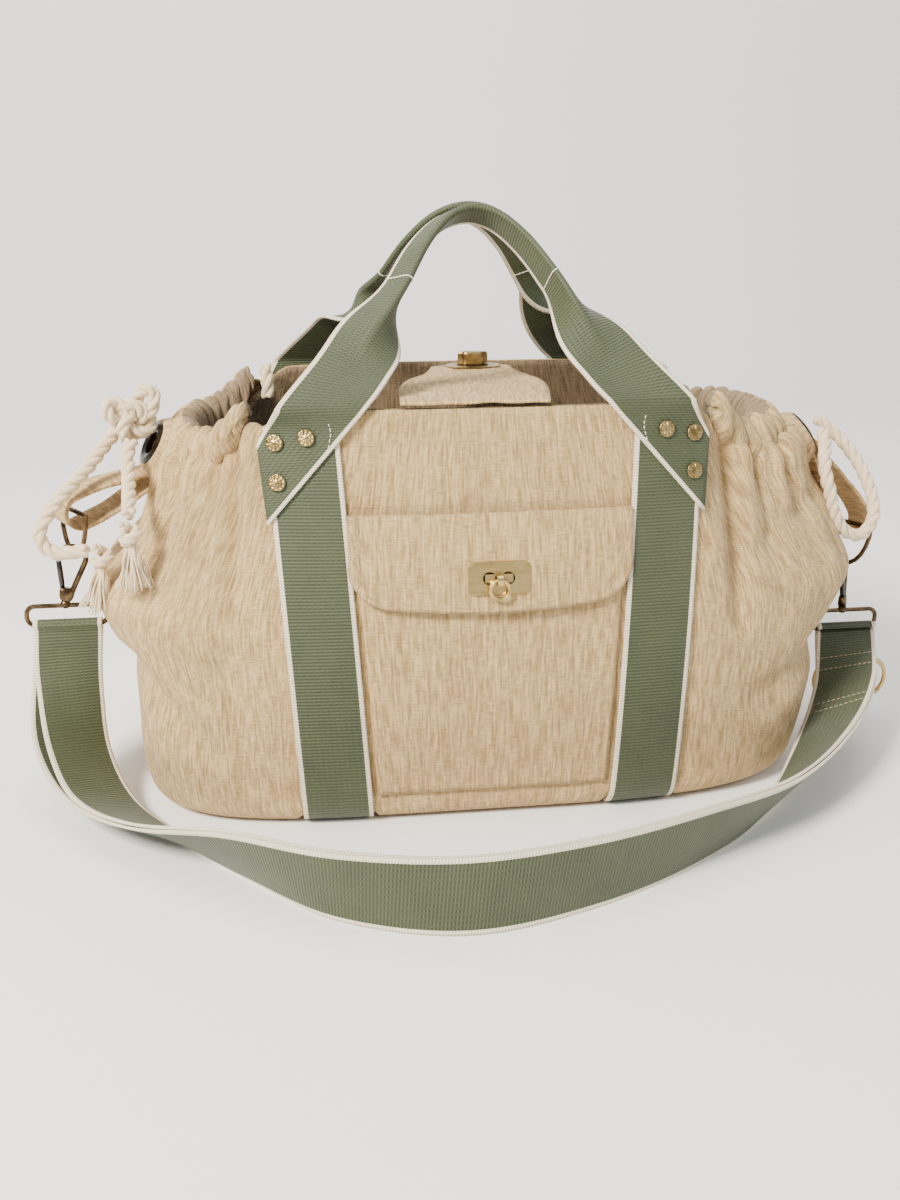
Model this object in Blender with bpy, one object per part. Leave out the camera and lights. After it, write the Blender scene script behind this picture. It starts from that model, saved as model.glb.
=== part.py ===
"""Soft duffel bag: linen body on a flat base, webbing bands and handles, a flap pocket with a
clasp, a top tab with a turn lock, gathered rope ends and a doubled shoulder strap on snap hooks.
X runs along the bag, -Y is the pocket side, +Z is up, and the origin is under the base's middle."""
import math

import bmesh
import bpy
from mathutils import Matrix, Vector

# ---------------------------------------------------------------- driving dimensions, metres
GAP = 0.0003                  # clearance between neighbouring solids
RIM = 0.236                   # height of the front and back rims
BASE_ROUND = 0.014            # radius where the walls turn into the base
WALL = 0.0022                 # outer fabric with its backing
LINING = 0.0010
LINING_GAP = WALL + 0.0015    # the lining hangs just inside the outer fabric
WEB_WIDTH = 0.040
WEB_THICK = 0.0017
BAND_GAP = 0.0008
BAND_LIFT = BAND_GAP + WEB_THICK   # the base rides up this far where a band passes under it
LIFT_FADE = 0.060             # height at which that lift has gone
BAND_X_LOW, BAND_X_HIGH = 0.089, 0.103   # middle of a band, at the base and at the rim
BAND_TOP = 0.222              # where a band ends, under its handle foot
# half size of the body at each height: (height, towards -X, towards +X, towards the front)
BODY = [(0.000, 0.200, 0.203, 0.1135), (0.030, 0.205, 0.211, 0.1145), (0.075, 0.206, 0.221, 0.1120),
        (0.120, 0.216, 0.231, 0.1070), (0.160, 0.196, 0.224, 0.1005), (0.200, 0.183, 0.200, 0.0935),
        (0.236, 0.171, 0.182, 0.0865)]
# how square the plan is: left and right at the base, and both at the rim
SQUARE_LEFT, SQUARE_RIGHT, SQUARE_RIM = 4.4, 3.6, 2.8
END_RIM = 0.190               # top of the end fabric under the middle of a casing
CASING_HALF = (0.0075, 0.0165)           # half thickness and half height of a gathered casing
CASING_START = 0.131
HANDLE_RIM_Y, HANDLE_TOP_Y = 0.0880, 0.0125
HANDLE_HINGE_Z = 0.2385
# middle line of a handle's left half, as (along the bag, height)
HANDLE_HALF = [(-0.091, 0.2385), (-0.0725, 0.258), (-0.0555, 0.281), (-0.0425, 0.301), (-0.0295, 0.319),
               (-0.0145, 0.332), (0.0, 0.336)]
GRIP_HALF = 0.042             # the folded grip reaches this far each side of the top
FOLD_DONE = 0.072             # and the webbing lies flat beyond this
FOLD_OPENING = math.radians(14)   # the two folded halves stay this far apart
FOLD_BEVEL = 0.0008
HANDLE_STEPS, HANDLE_END_STEPS = 48, 6
# turn of the folded halves from straight inward to the bag's middle, at the grip's left and right ends
GRIP_ROLL = {-1: (125, 88), 1: (-50, -10)}
# corners of a handle foot, from its outer top corner round to the inner one: (from middle, height)
FOOT = [(0.126, 0.219), (0.122, 0.176), (0.066, 0.2368), (0.116, 0.2368)]
FOOT_OUT = BAND_LIFT + GAP
RIVETS = [(0.117, 0.2195), (0.100, 0.2225), (0.1165, 0.199)]
RIVET_RADIUS, RIVET_THICK = 0.0045, 0.0014
POCKET_HALF = 0.0655
POCKET_LOW, POCKET_TOP = 0.020, 0.172
POCKET_THICK = 0.0012
POCKET_SWELL = 0.0030         # the pocket and the flap stand out this much more at their middle
FLAP_SWELL, FLAP_CLEAR = 0.0045, 0.0032
FLAP_HALF, FLAP_TOP, FLAP_BOTTOM = 0.0785, 0.181, 0.128
FLAP_THICK = 0.0022
FLAP_CORNER, FLAP_BOW = 0.020, 0.005
FLAP_HINGE = (0.0, -0.1063, FLAP_TOP)
CLASP_X, CLASP_Z = 0.002, 0.1465
CLASP_SIZE = (0.0337, 0.0186, 0.0016)
CLASP_SLOT = (0.018, 0.0074)
BRIDGE = 0.0032               # bar across the middle of the plate's slot
CHEEK_IN, CHEEK_TOP, POST_BASE = 0.0024, 0.0072, 0.0012
EYE_RADIUS, EYE_HOLE, EYE_SINK = 0.0032, 0.0020, 0.0004
CLASP_FACE = FLAP_THICK + GAP
CLASP_PIVOT = CLASP_FACE + CLASP_SIZE[2] + EYE_RADIUS - EYE_SINK
RING_RADIUS, RING_WIRE, RING_HANG = 0.0053, 0.00115, -0.0008
# the top tab's middle and half width at each distance back
TAB_SHAPE = [(-0.085, -0.007, 0.0415), (-0.035, -0.001, 0.0400), (0.010, 0.005, 0.0330),
             (0.045, 0.010, 0.0270), (0.0805, 0.014, 0.0255)]
TAB_HINGE_Y, TAB_END_Y = -0.0850, 0.0805
TAB_SAG, TAB_LEVEL_Y = 0.0062, 0.052      # the tab sinks this far, and is level beyond this distance
TAB_LOW, TAB_THICK = 0.2380, 0.0022
TAB_HINGE = (0.0, TAB_HINGE_Y, TAB_LOW + TAB_THICK / 2)
LOCK_X, LOCK_Y = 0.014, 0.0695
LOCK_FOOT, LOCK_POST_HIGH = 0.2284, 0.0077   # height of the lock's base, and of its post above that
LOCK_PLATE = (0.037, 0.0205, 0.0012)
LOCK_SLOT = (0.0215, 0.0104)
LOCK_POST = 0.0028
EYELET_RADIUS, EYELET_HOLE, EYELET_THICK = 0.0135, 0.0070, 0.0022
ROPE = 0.008
STRAP_THICK = 0.0040          # the shoulder strap lies double
WIRE = 0.0015                 # radius of hook, ring and loop wire
# for each end: the eyelet, its lean and its turn to the front, the tab's root and fold, the turn
# from straight ahead of the tab's width and of the D-ring's bar, and the hook's foot, lean and swivel
ENDS = {
    "left": {"sign": -1, "eyelet": (-0.1880, -0.015, 0.2065), "eyelet_turn": (30, 18),
             "tab": [(-0.1985, -0.008, 0.1835), (-0.2345, -0.028, 0.1715)], "tab_yaw": 28,
             "ring_yaw": 33, "hook": (-0.2440, -0.0300, 0.1165), "lean": 13, "swivel": 0},
    "right": {"sign": 1, "eyelet": (0.2100, -0.015, 0.2030), "eyelet_turn": (34, 0),
              "tab": [(0.2170, -0.0140, 0.1870), (0.2495, -0.0110, 0.1420)], "tab_yaw": 16,
              "ring_yaw": 31, "hook": (0.2500, -0.0120, 0.0845), "lean": -3, "swivel": 58},
}
TAB_WIDTH, TAB_FOLD_RADIUS, TAB_ROOT_RADIUS, TAB_CLOTH = 0.023, 0.0095, 0.0030, 0.0022
RING_SEAT = 0.0010            # a ring's bar sits this far past the middle of the tab's fold
RING_SLACK = 0.0022            # play between a D-ring and its hook
D_RING = (0.0160, 0.0265)     # half width at the bar, and drop below it
HOOK_HIGH, HOOK_HALF = 0.0340, 0.0078
LOOP_HALF, LOOP_DROP = 0.0235, 0.0120
# the shoulder strap's two edges from the left hook to the right one: the edge that ends on top
# where the strap stands on the ground, and the edge that ends below
STRAP_UPPER = [(-0.264, -0.030, 0.099), (-0.265, -0.036, 0.070), (-0.257, -0.068, 0.038),
               (-0.240, -0.101, 0.021), (-0.205, -0.139, 0.023), (-0.152, -0.177, 0.036),
               (-0.096, -0.212, 0.040), (-0.031, -0.225, 0.040), (0.037, -0.215, 0.040),
               (0.104, -0.190, 0.039), (0.167, -0.156, 0.036), (0.219, -0.108, 0.040),
               (0.260, -0.050, 0.047), (0.2735, -0.012, 0.067)]
STRAP_LOWER = [(-0.224, -0.030, 0.099), (-0.227, -0.032, 0.058), (-0.224, -0.048, 0.027),
               (-0.208, -0.080, 0.008), (-0.180, -0.116, 0.002), (-0.139, -0.164, 0.000),
               (-0.093, -0.210, 0.000), (-0.031, -0.231, 0.000), (0.036, -0.215, 0.000),
               (0.099, -0.181, 0.000), (0.153, -0.137, 0.003), (0.194, -0.085, 0.018),
               (0.225, -0.036, 0.037), (0.2335, -0.012, 0.067)]
STRAP_STEPS = 72
SLIDER_PLACE = (0.2632, -0.0060, 0.0300)
# routes of the ropes' middle lines, from the eyelet outward
ROPE_ROUTES = {
    "rope_left_front": [(-0.1990, -0.027, 0.2105), (-0.2010, -0.033, 0.2040), (-0.2000, -0.046, 0.1930),
                        (-0.1988, -0.064, 0.1850), (-0.1980, -0.076, 0.1800)],
    "rope_left_back": [(-0.2085, -0.010, 0.2140), (-0.2160, -0.020, 0.2060), (-0.2250, -0.032, 0.1960),
                       (-0.2360, -0.046, 0.1860), (-0.2460, -0.056, 0.1745), (-0.2500, -0.059, 0.1655),
                       (-0.2472, -0.059, 0.1580), (-0.2400, -0.060, 0.1545), (-0.2310, -0.061, 0.1555),
                       (-0.2240, -0.062, 0.1565)],
    "rope_right": [(0.2195, -0.024, 0.2050), (0.2185, -0.032, 0.1990), (0.2155, -0.040, 0.1930),
                   (0.2145, -0.045, 0.1850), (0.2176, -0.048, 0.1719), (0.2225, -0.048, 0.1566),
                   (0.2316, -0.046, 0.1455), (0.2428, -0.043, 0.1425), (0.2517, -0.038, 0.1500),
                   (0.2540, -0.031, 0.1618), (0.2500, -0.020, 0.1784), (0.2420, -0.010, 0.1924),
                   (0.2330, -0.006, 0.2015), (0.2240, -0.004, 0.2085)],
}
# the bow of rope at the left eyelet, and the tassels: knot's middle and the direction they hang
BOW = (-0.1965, -0.0165, 0.2275)
TASSELS = {"tassel_left_front": ((-0.1975, -0.0810, 0.1705), (0.02, 0.0, -1.0)),
           "tassel_left_back": ((-0.2161, -0.0620, 0.1525), (-0.15, 0.0, -1.0))}
ROPE_TAILS = {
    "rope_tail_left": [(-0.1215, 0.060, 0.2390), (-0.1205, 0.054, 0.2300), (-0.1205, 0.052, 0.2200)],
    "rope_tail_right": [(0.139, 0.056, 0.2330), (0.131, 0.046, 0.2335), (0.124, 0.036, 0.2330)],
}

# ---------------------------------------------------------------- materials
MATERIALS = {
    "linen": ((0.578, 0.423, 0.264), 0.92, 0.0), "lining": ((0.070, 0.047, 0.036), 0.90, 0.0),
    "casing": ((0.392, 0.279, 0.174), 0.92, 0.0), "webbing": ((0.105, 0.138, 0.085), 0.75, 0.0),
    "antique_brass": ((0.270, 0.200, 0.100), 0.38, 1.0), "brushed_brass": ((0.560, 0.410, 0.180), 0.35, 1.0),
    "bronze": ((0.150, 0.105, 0.062), 0.35, 1.0), "gunmetal": ((0.045, 0.045, 0.047), 0.35, 1.0),
    "rope": ((0.800, 0.750, 0.650), 0.95, 0.0),
}


def material(name):
    found = bpy.data.materials.get(name)
    if found:
        return found
    color, roughness, metallic = MATERIALS[name]
    made = bpy.data.materials.new(name)
    made.use_nodes = True
    shader = made.node_tree.nodes["Principled BSDF"]
    shader.inputs["Base Color"].default_value = (*color, 1.0)
    shader.inputs["Roughness"].default_value = roughness
    shader.inputs["Metallic"].default_value = metallic
    return made


# ---------------------------------------------------------------- small mesh tools
def add_object(name, data, slot, origin=(0, 0, 0)):
    """Link an object whose geometry is given in world space and whose origin sits at a joint."""
    made = bpy.data.objects.new(name, data)
    bpy.context.collection.objects.link(made)
    data.materials.append(material(slot))
    if tuple(origin) != (0, 0, 0):
        data.transform(Matrix.Translation(-Vector(origin)))
        made.location = origin
    return made


def mesh_from(name, points, faces, slot, origin=(0, 0, 0), smooth=True):
    mesh = bpy.data.meshes.new(name)
    mesh.from_pydata([tuple(p) for p in points], [], faces)
    work = bmesh.new()
    work.from_mesh(mesh)
    bmesh.ops.remove_doubles(work, verts=work.verts, dist=1e-6)
    bmesh.ops.triangulate(work, faces=[f for f in work.faces if len(f.verts) > 4])
    bmesh.ops.recalc_face_normals(work, faces=work.faces)
    work.to_mesh(mesh)
    work.free()
    if smooth:
        mesh.shade_smooth()
        mesh.set_sharp_from_angle(angle=math.radians(35))
    return add_object(name, mesh, slot, origin)


def slab(name, outer, inner, slot, origin=(0, 0, 0)):
    """Closed solid between two matching grids of points (rows of equal length)."""
    rows, columns = len(outer), len(outer[0])
    points = [p for row in outer for p in row] + [p for row in inner for p in row]
    half = rows * columns
    faces = []
    for r in range(rows - 1):
        for c in range(columns - 1):
            a, b = r * columns + c, (r + 1) * columns + c
            faces.append((a, a + 1, b + 1, b))
            faces.append((half + a, half + b, half + b + 1, half + a + 1))
    edge = [(0, c) for c in range(columns)] + [(r, columns - 1) for r in range(1, rows)]
    edge += [(rows - 1, c) for c in range(columns - 2, -1, -1)] + [(r, 0) for r in range(rows - 2, 0, -1)]
    for (r1, c1), (r2, c2) in zip(edge, edge[1:] + edge[:1]):
        a, b = r1 * columns + c1, r2 * columns + c2
        faces.append((a, half + a, half + b, b))
    return mesh_from(name, points, faces, slot, origin)


def loft(name, sections, slot, origin=(0, 0, 0), closed=False):
    """Skin through sections of equal length, with end caps unless the row of sections closes."""
    size = len(sections[0])
    points = [p for section in sections for p in section]
    faces = []
    last = len(sections) if closed else len(sections) - 1
    for s in range(last):
        a, b = s * size, (s + 1) % len(sections) * size
        for i in range(size):
            j = (i + 1) % size
            faces.append((a + i, a + j, b + j, b + i))
    if not closed:
        faces.append(tuple(range(size)))
        faces.append(tuple(range(len(points) - size, len(points))))
    return mesh_from(name, points, faces, slot, origin)


def through(keys, value):
    """Smooth curve through keyed rows (x, a, b, ...); returns the other columns at x = value."""
    value = min(max(value, keys[0][0]), keys[-1][0])
    i = max(k for k in range(len(keys) - 1) if keys[k][0] <= value)
    before, low, high, after = keys[max(i - 1, 0)], keys[i], keys[i + 1], keys[min(i + 2, len(keys) - 1)]
    span = high[0] - low[0]
    t = (value - low[0]) / span
    out = []
    for k in range(1, len(low)):
        enter = (high[k] - before[k]) / (high[0] - before[0]) * span
        leave = (after[k] - low[k]) / (after[0] - low[0]) * span
        out.append((2 * t**3 - 3 * t**2 + 1) * low[k] + (t**3 - 2 * t**2 + t) * enter
                   + (3 * t**2 - 2 * t**3) * high[k] + (t**3 - t**2) * leave)
    return out


def smooth_route(route, steps):
    """Evenly spaced points on a smooth curve through the route's own points."""
    marks = [0.0]
    for a, b in zip(route, route[1:]):
        marks.append(marks[-1] + (Vector(b) - Vector(a)).length)
    keys = [(m, *p) for m, p in zip(marks, route)]
    fine = [Vector(through(keys, marks[-1] * i / 400)) for i in range(401)]
    run = [0.0]
    for a, b in zip(fine, fine[1:]):
        run.append(run[-1] + (b - a).length)
    out, k = [], 0
    for i in range(steps + 1):
        want = run[-1] * i / steps
        while k < len(run) - 2 and run[k + 1] < want:
            k += 1
        part = (want - run[k]) / max(run[k + 1] - run[k], 1e-9)
        out.append(fine[k].lerp(fine[k + 1], min(max(part, 0.0), 1.0)))
    return out


def wire(name, points, radius, slot, origin=(0, 0, 0), cyclic=False, sides=2):
    curve = bpy.data.curves.new(name, "CURVE")
    curve.dimensions = "3D"
    curve.bevel_depth = radius
    curve.bevel_resolution = sides
    curve.use_fill_caps = True
    spline = curve.splines.new("POLY")
    spline.points.add(len(points) - 1)
    for point, place in zip(spline.points, points):
        point.co = (*(Vector(place) - Vector(origin)), 1.0)
    spline.use_cyclic_u = cyclic
    made = bpy.data.objects.new(name, curve)
    bpy.context.collection.objects.link(made)
    curve.materials.append(material(slot))
    made.location = origin
    return made


def cut(target, tool):
    modifier = target.modifiers.new("cut", "BOOLEAN")
    modifier.operation = "DIFFERENCE"
    modifier.solver = "EXACT"
    modifier.object = tool


def join(target, tool):
    modifier = target.modifiers.new("join", "BOOLEAN")
    modifier.operation = "UNION"
    modifier.solver = "EXACT"
    modifier.object = tool


def oblong(length, width, corner, steps=5, bulge=0.0):
    """Outline of a rounded rectangle; bulge swells the short sides outward."""
    out = []
    for cx, cz, start in ((1, 1, 0), (-1, 1, 90), (-1, -1, 180), (1, -1, 270)):
        for i in range(steps + 1):
            turn = math.radians(start + 90 * i / steps)
            x = cx * (length / 2 - corner) + corner * math.cos(turn)
            z = cz * (width / 2 - corner) + corner * math.sin(turn)
            x += math.copysign(bulge * (1 - (2 * z / width) ** 2), x)
            out.append((x, z))
    return out


def plate(name, outline, place, thick, slot, origin=(0, 0, 0), round_over=0.0):
    """Flat plate: the outline's points go through place(x, z, out), from out = 0 to out = thick."""
    steps = [(1.0, 0.0), (1.0, thick)]
    if round_over:
        reach = max(abs(x) for x, z in outline)
        steps = [(1.0, 0.0), (1.0, thick - round_over), (1 - round_over / reach, thick)]
    sections = [[place(x * k, z * k, out) for x, z in outline] for k, out in steps]
    return loft(name, sections, slot, origin)


# ---------------------------------------------------------------- the body's surface
def band_x(z):
    return BAND_X_LOW + (BAND_X_HIGH - BAND_X_LOW) * z / RIM


def plan(z, shrink):
    """Half length towards -X and +X, half depth, and the squareness of each end, at a height."""
    left, right, depth = through(BODY, z)
    rise = min(max(z / RIM, 0.0), 1.0)
    square_left = SQUARE_LEFT + (SQUARE_RIM - SQUARE_LEFT) * rise
    square_right = SQUARE_RIGHT + (SQUARE_RIM - SQUARE_RIGHT) * rise
    return left - shrink, right - shrink, depth - shrink, square_left, square_right


def wall_depth(x, z, shrink=0.0):
    """Distance of the front wall (or the back one) from the middle, at x and height z."""
    left, right, depth, square_left, square_right = plan(z, shrink)
    reach, square = (right, square_right) if x > 0 else (left, square_left)
    return depth * (1 - min(abs(x) / reach, 1.0) ** square) ** (1 / square)


def front(x, z, out=0.0, side=-1):
    """Point on the front wall (side -1) or the back wall (side 1), moved outward by out."""
    return Vector((x, side * wall_depth(x, z, -out), z))


def wall_frame(x, z, out, side=-1):
    """Place a flat piece against a wall: returns place(across, up, away)."""
    step = 0.004
    middle = front(x, z, out, side)
    up = (front(x, z + step, out, side) - front(x, z - step, out, side)).normalized()
    across = (front(x + step, z, out, side) - front(x - step, z, out, side)).normalized()
    away = across.cross(up).normalized() * -side
    across = up.cross(away).normalized()
    return lambda a, u, o: middle + across * a + up * u + away * o


def lifted(z, offset):
    """The wall rides up a little where a band passes beneath the base."""
    if abs(offset) > WEB_WIDTH / 2 + GAP:
        return z
    return z + BAND_LIFT * max(0.0, 1 - max(z, 0.0) / LIFT_FADE)


def rim_height(x):
    """Top of the wall: level between the handles, lower towards the gathered ends."""
    t = min(max((abs(x) - 0.112) / 0.050, 0.0), 1.0)
    return RIM + (END_RIM - RIM) * (3 * t**2 - 2 * t**3)


ROUND_STEPS = (0, 35, 65, 90)          # angles around the base's edge
WALL_LEVELS = (0.036, 0.060, 0.085, 0.110, 0.135, 0.160, 0.185, 0.212, RIM)
BAND_STEPS = (0.0, WEB_WIDTH / 2 + GAP / 2, WEB_WIDTH / 2 + 0.0010)
FRONT_SPANS = 6
END_SPANS = 12


def levels(inset):
    """(height, shrink) of each level: round the base's edge, then up the wall."""
    out = []
    for angle in ROUND_STEPS:
        turn = math.radians(angle)
        radius = BASE_ROUND - inset
        out.append((BASE_ROUND - radius * math.cos(turn), BASE_ROUND - radius * math.sin(turn)))
    return out + [(z, inset) for z in WALL_LEVELS]


def middle_stations(z):
    """x of each station of the front or back wall between the bands' middle lines."""
    band = band_x(z)
    half = [band - step for step in BAND_STEPS]
    flat = half[-1]
    half += [flat - 2 * flat * i / FRONT_SPANS for i in range(1, FRONT_SPANS // 2)]
    return [-x for x in half] + [0.0] + half[::-1]


def end_points(z, sign, shrink):
    """Points of an end wall, from the front band's middle line round to the back one's."""
    left, right, depth, square_left, square_right = plan(z, shrink)
    reach, square = (right, square_right) if sign > 0 else (left, square_left)
    starts = [sign * (band_x(z) + step) for step in BAND_STEPS]
    first = math.acos((abs(starts[-1]) / reach) ** (square / 2))
    curve = []
    for i in range(1, END_SPANS):
        turn = -first + 2 * first * i / END_SPANS
        x = sign * reach * math.cos(turn) ** (2 / square)
        curve.append((x, math.copysign(depth * abs(math.sin(turn)) ** (2 / square), turn)))
    face = [(x, -wall_depth(x, z, shrink)) for x in starts]
    return face + curve + [(x, -y) for x, y in reversed(face)]


def wall_row(level, part, trim=0.0):
    """One level of the front, back, left or right wall; trim leaves a gap at the bands' middles."""
    z, shrink = level
    if part in ("front", "back"):
        side = -1 if part == "front" else 1
        xs = middle_stations(z)
        xs[0] += trim
        xs[-1] -= trim
        return [Vector((x, side * wall_depth(x, z, shrink), lifted(z, abs(x) - band_x(z)))) for x in xs]
    sign = -1 if part == "left" else 1
    tops = [rim_height(x) for x, y in end_points(END_RIM, sign, shrink)]
    row = []
    for k, top in enumerate(tops):
        at = z
        if z > BASE_ROUND:
            at = BASE_ROUND + (z - BASE_ROUND) * (top - BASE_ROUND) / (RIM - BASE_ROUND)
        x, y = end_points(at, sign, shrink)[k]
        if k in (0, len(tops) - 1):
            x += sign * trim
        row.append(Vector((x, y, lifted(at, abs(x) - band_x(at)))))
    return row


def wall(name, part):
    """Outer fabric of one wall, from the base's edge to the rim."""
    outer = [wall_row(level, part, GAP) for level in levels(0.0)]
    inner = [wall_row(level, part, GAP) for level in levels(WALL)]
    return slab(name, outer, inner, "linen")


def ring_row(level):
    """One level all round the body, anticlockwise from the left band's middle on the front."""
    row = wall_row(level, "front")[:-1] + wall_row(level, "right")[:-1]
    return row + wall_row(level, "back")[:0:-1] + wall_row(level, "left")[:0:-1]


def floor_strips(count, first):
    """Faces across a floor, joining each front station to the back station with the same x."""
    mirror = 2 * (len(middle_stations(0)) - 1) + 2 * len(BAND_STEPS) + END_SPANS - 2
    half_end = (2 * len(BAND_STEPS) + END_SPANS - 2) // 2
    faces = []
    start = -half_end
    stop = len(middle_stations(0)) - 1 + half_end
    for i in range(start, stop):
        ring = [i % count, (i + 1) % count, (mirror - i - 1) % count, (mirror - i) % count]
        faces.append(tuple(first + k for k in dict.fromkeys(ring)))
    return faces


def base_panel():
    low = ring_row((0.0, BASE_ROUND + GAP))
    high = [p + Vector((0, 0, WALL)) for p in low]
    count = len(low)
    faces = floor_strips(count, 0) + floor_strips(count, count)
    faces += [(i, (i + 1) % count, count + (i + 1) % count, count + i) for i in range(count)]
    return mesh_from("base_panel", low + high, faces, "linen")


def lining():
    """Inner bag of thin cloth, open at the top."""
    skins = []
    for inset in (LINING_GAP, LINING_GAP + LINING):
        skins.append([ring_row(level) for level in levels(inset)])
    rows = skins[0] + skins[1][::-1]
    count = len(rows[0])
    points = [p for row in rows for p in row]
    faces = []
    for r in range(len(rows) - 1):
        for i in range(count):
            j = (i + 1) % count
            faces.append((r * count + i, r * count + j, (r + 1) * count + j, (r + 1) * count + i))
    faces += floor_strips(count, 0) + floor_strips(count, (len(rows) - 1) * count)
    return mesh_from("lining", points, faces, "lining")


def casing(name, sign):
    """Gathered rope casing along the top of one end."""
    half_thick, half_high = CASING_HALF
    sections = []
    steps = 26
    for i in range(steps + 1):
        share = i / steps
        left, right, depth, square_left, square_right = plan(0.212, WALL + half_thick + 0.0006)
        reach, square = (right, square_right) if sign > 0 else (left, square_left)
        first = math.acos((CASING_START / reach) ** (square / 2))
        turn = -first + 2 * first * share
        x = sign * reach * math.cos(turn) ** (2 / square)
        y = math.copysign(depth * abs(math.sin(turn)) ** (2 / square), turn)
        full = min(1.0, 0.62 + 2.2 * min(share, 1 - share))
        z = rim_height(x) + GAP + half_high * full
        outward = Vector((math.copysign(abs(x / reach) ** (square - 1) / reach, x),
                          math.copysign(abs(y / depth) ** (square - 1) / depth, y), 0)).normalized()
        section = []
        for k in range(10):
            around = 2 * math.pi * k / 10
            section.append(Vector((x, y, z)) + outward * half_thick * math.cos(around)
                           + Vector((0, 0, half_high * full * math.sin(around))))
        sections.append(section)
    return loft(name, sections, "casing")


# ---------------------------------------------------------------- webbing
def band(name, sign):
    """One webbing band, from the front foot down, under the base and up the back."""
    across = (-WEB_WIDTH / 2, 0.0, WEB_WIDTH / 2)
    grids = []
    for out in (BAND_LIFT, BAND_GAP):
        rows = []
        for side in (-1, 1):
            half = []
            for z, shrink in levels(-out)[:-2] + [(BAND_TOP, -out)]:
                row = []
                for offset in across:
                    x = sign * band_x(z) + offset
                    row.append(Vector((x, side * wall_depth(x, z, shrink), lifted(z, 0))))
                half.append(row)
            rows = half[::-1] if side < 0 else rows + half
        grids.append(rows)
    return slab(name, grids[0], grids[1], "webbing")


def handle_foot(name, sign, side):
    """Flat end of a handle on the wall, over the top of a band."""
    steps = 4
    a, b, c, d = [Vector(corner) for corner in FOOT]
    grids = []
    for out in (FOOT_OUT + WEB_THICK, FOOT_OUT):
        rows = []
        for i in range(steps + 1):
            row = []
            for j in range(steps + 1):
                u, v = i / steps, j / steps
                place = a.lerp(d, u).lerp(b.lerp(c, u), v)
                row.append(front(sign * place.x, place.y, out, side))
            rows.append(row)
        grids.append(rows)
    return slab(name, grids[0], grids[1], "webbing")


def rivet(name, x, z, side):
    place = wall_frame(x, z, FOOT_OUT + WEB_THICK + GAP + 0.0001, side)
    circle = [(RIVET_RADIUS * math.cos(2 * math.pi * k / 12), RIVET_RADIUS * math.sin(2 * math.pi * k / 12))
              for k in range(12)]
    return plate(name, circle, place, RIVET_THICK, "antique_brass", round_over=0.0008)


def fold_share(x):
    """How far the handle's webbing is folded: 1 over the grip, 0 where it lies flat."""
    t = min(max((FOLD_DONE - abs(x)) / (FOLD_DONE - GRIP_HALF), 0.0), 1.0)
    return t * t * (3 - 2 * t)


def grip_roll(x, side):
    left, right = GRIP_ROLL[side]
    share = min(max((x + GRIP_HALF) / (2 * GRIP_HALF), 0.0), 1.0)
    return math.radians(left + (right - left) * share)


def web_section(fold, roll):
    """Webbing folded about its middle, as points (inward, towards the bag's middle)."""
    half, thin = WEB_WIDTH / 2, WEB_THICK / 2
    inner = (roll - FOLD_OPENING / 2) * fold
    outer = math.pi + (roll + FOLD_OPENING / 2 - math.pi) * fold
    arm_in = Vector((math.cos(inner), math.sin(inner)))
    arm_out = Vector((math.cos(outer), math.sin(outer)))
    face_in = Vector((arm_in.y, -arm_in.x)) * thin
    face_out = Vector((-arm_out.y, arm_out.x)) * thin
    middle = (inner + outer) / 2
    notch = Vector((math.cos(middle), math.sin(middle))) * thin / math.sin((outer - inner) / 2)
    points = [arm_out * half + face_out, arm_out * FOLD_BEVEL + face_out, arm_in * FOLD_BEVEL + face_in,
              arm_in * half + face_in, arm_in * half - face_in, notch, arm_out * half - face_out]
    centre = (arm_in + arm_out) * half / 4
    return [point - centre for point in points]


def handle(name, side):
    """Carrying handle: flat webbing that is folded double over the grip."""
    lean = Vector((0, HANDLE_TOP_Y - HANDLE_RIM_Y, HANDLE_HALF[-1][1] - HANDLE_HINGE_Z)).normalized()
    route = HANDLE_HALF + [(-x, z) for x, z in HANDLE_HALF[-2::-1]]
    points = smooth_route([(x, 0, (z - HANDLE_HINGE_Z) / lean.z) for x, z in route], HANDLE_STEPS)
    last = len(points) - 1
    sections = []
    for i, point in enumerate(points):
        along = (points[min(i + 1, last)] - points[max(i - 1, 0)]).normalized()
        inward = Vector((along.z, 0, -along.x))
        end_share = max(0.0, 1 - min(i, last - i) / HANDLE_END_STEPS)
        inward = inward.lerp(Vector((math.copysign(1.0, along.z), 0, 0)), end_share)
        inward *= 1 / inward.cross(along).length
        section = []
        for across, to_middle in web_section(fold_share(point.x), grip_roll(point.x, side)):
            flat = point + inward * across
            y = HANDLE_RIM_Y + lean.y * flat.z - to_middle * lean.z
            z = HANDLE_HINGE_Z + lean.z * flat.z + to_middle * lean.y
            section.append(Vector((flat.x, side * y, z)))
        sections.append(section)
    return loft(name, sections, "webbing", origin=(0, side * HANDLE_RIM_Y, HANDLE_HINGE_Z))


# ---------------------------------------------------------------- pocket, flap and clasp
def pocket_out(x, z):
    rise = min(max((z - POCKET_LOW) / 0.03, 0.0), 1.0)
    return GAP + POCKET_SWELL * rise * (1 - (x / POCKET_HALF) ** 2)


def flap_out(x):
    return FLAP_CLEAR + FLAP_SWELL * (1 - (x / FLAP_HALF) ** 2)


def pocket_panel():
    columns, rows = 8, 7
    grids = []
    for thick in (POCKET_THICK, 0.0):
        grid = []
        for r in range(rows + 1):
            z = POCKET_LOW + (POCKET_TOP - POCKET_LOW) * r / rows
            half = POCKET_HALF + (band_x(z) - BAND_X_LOW)
            xs = [half * (2 * c / columns - 1) for c in range(columns + 1)]
            grid.append([front(x, z, pocket_out(x * POCKET_HALF / half, z) + thick) for x in xs])
        grids.append(grid)
    return slab("pocket_panel", grids[0], grids[1], "linen")


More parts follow.
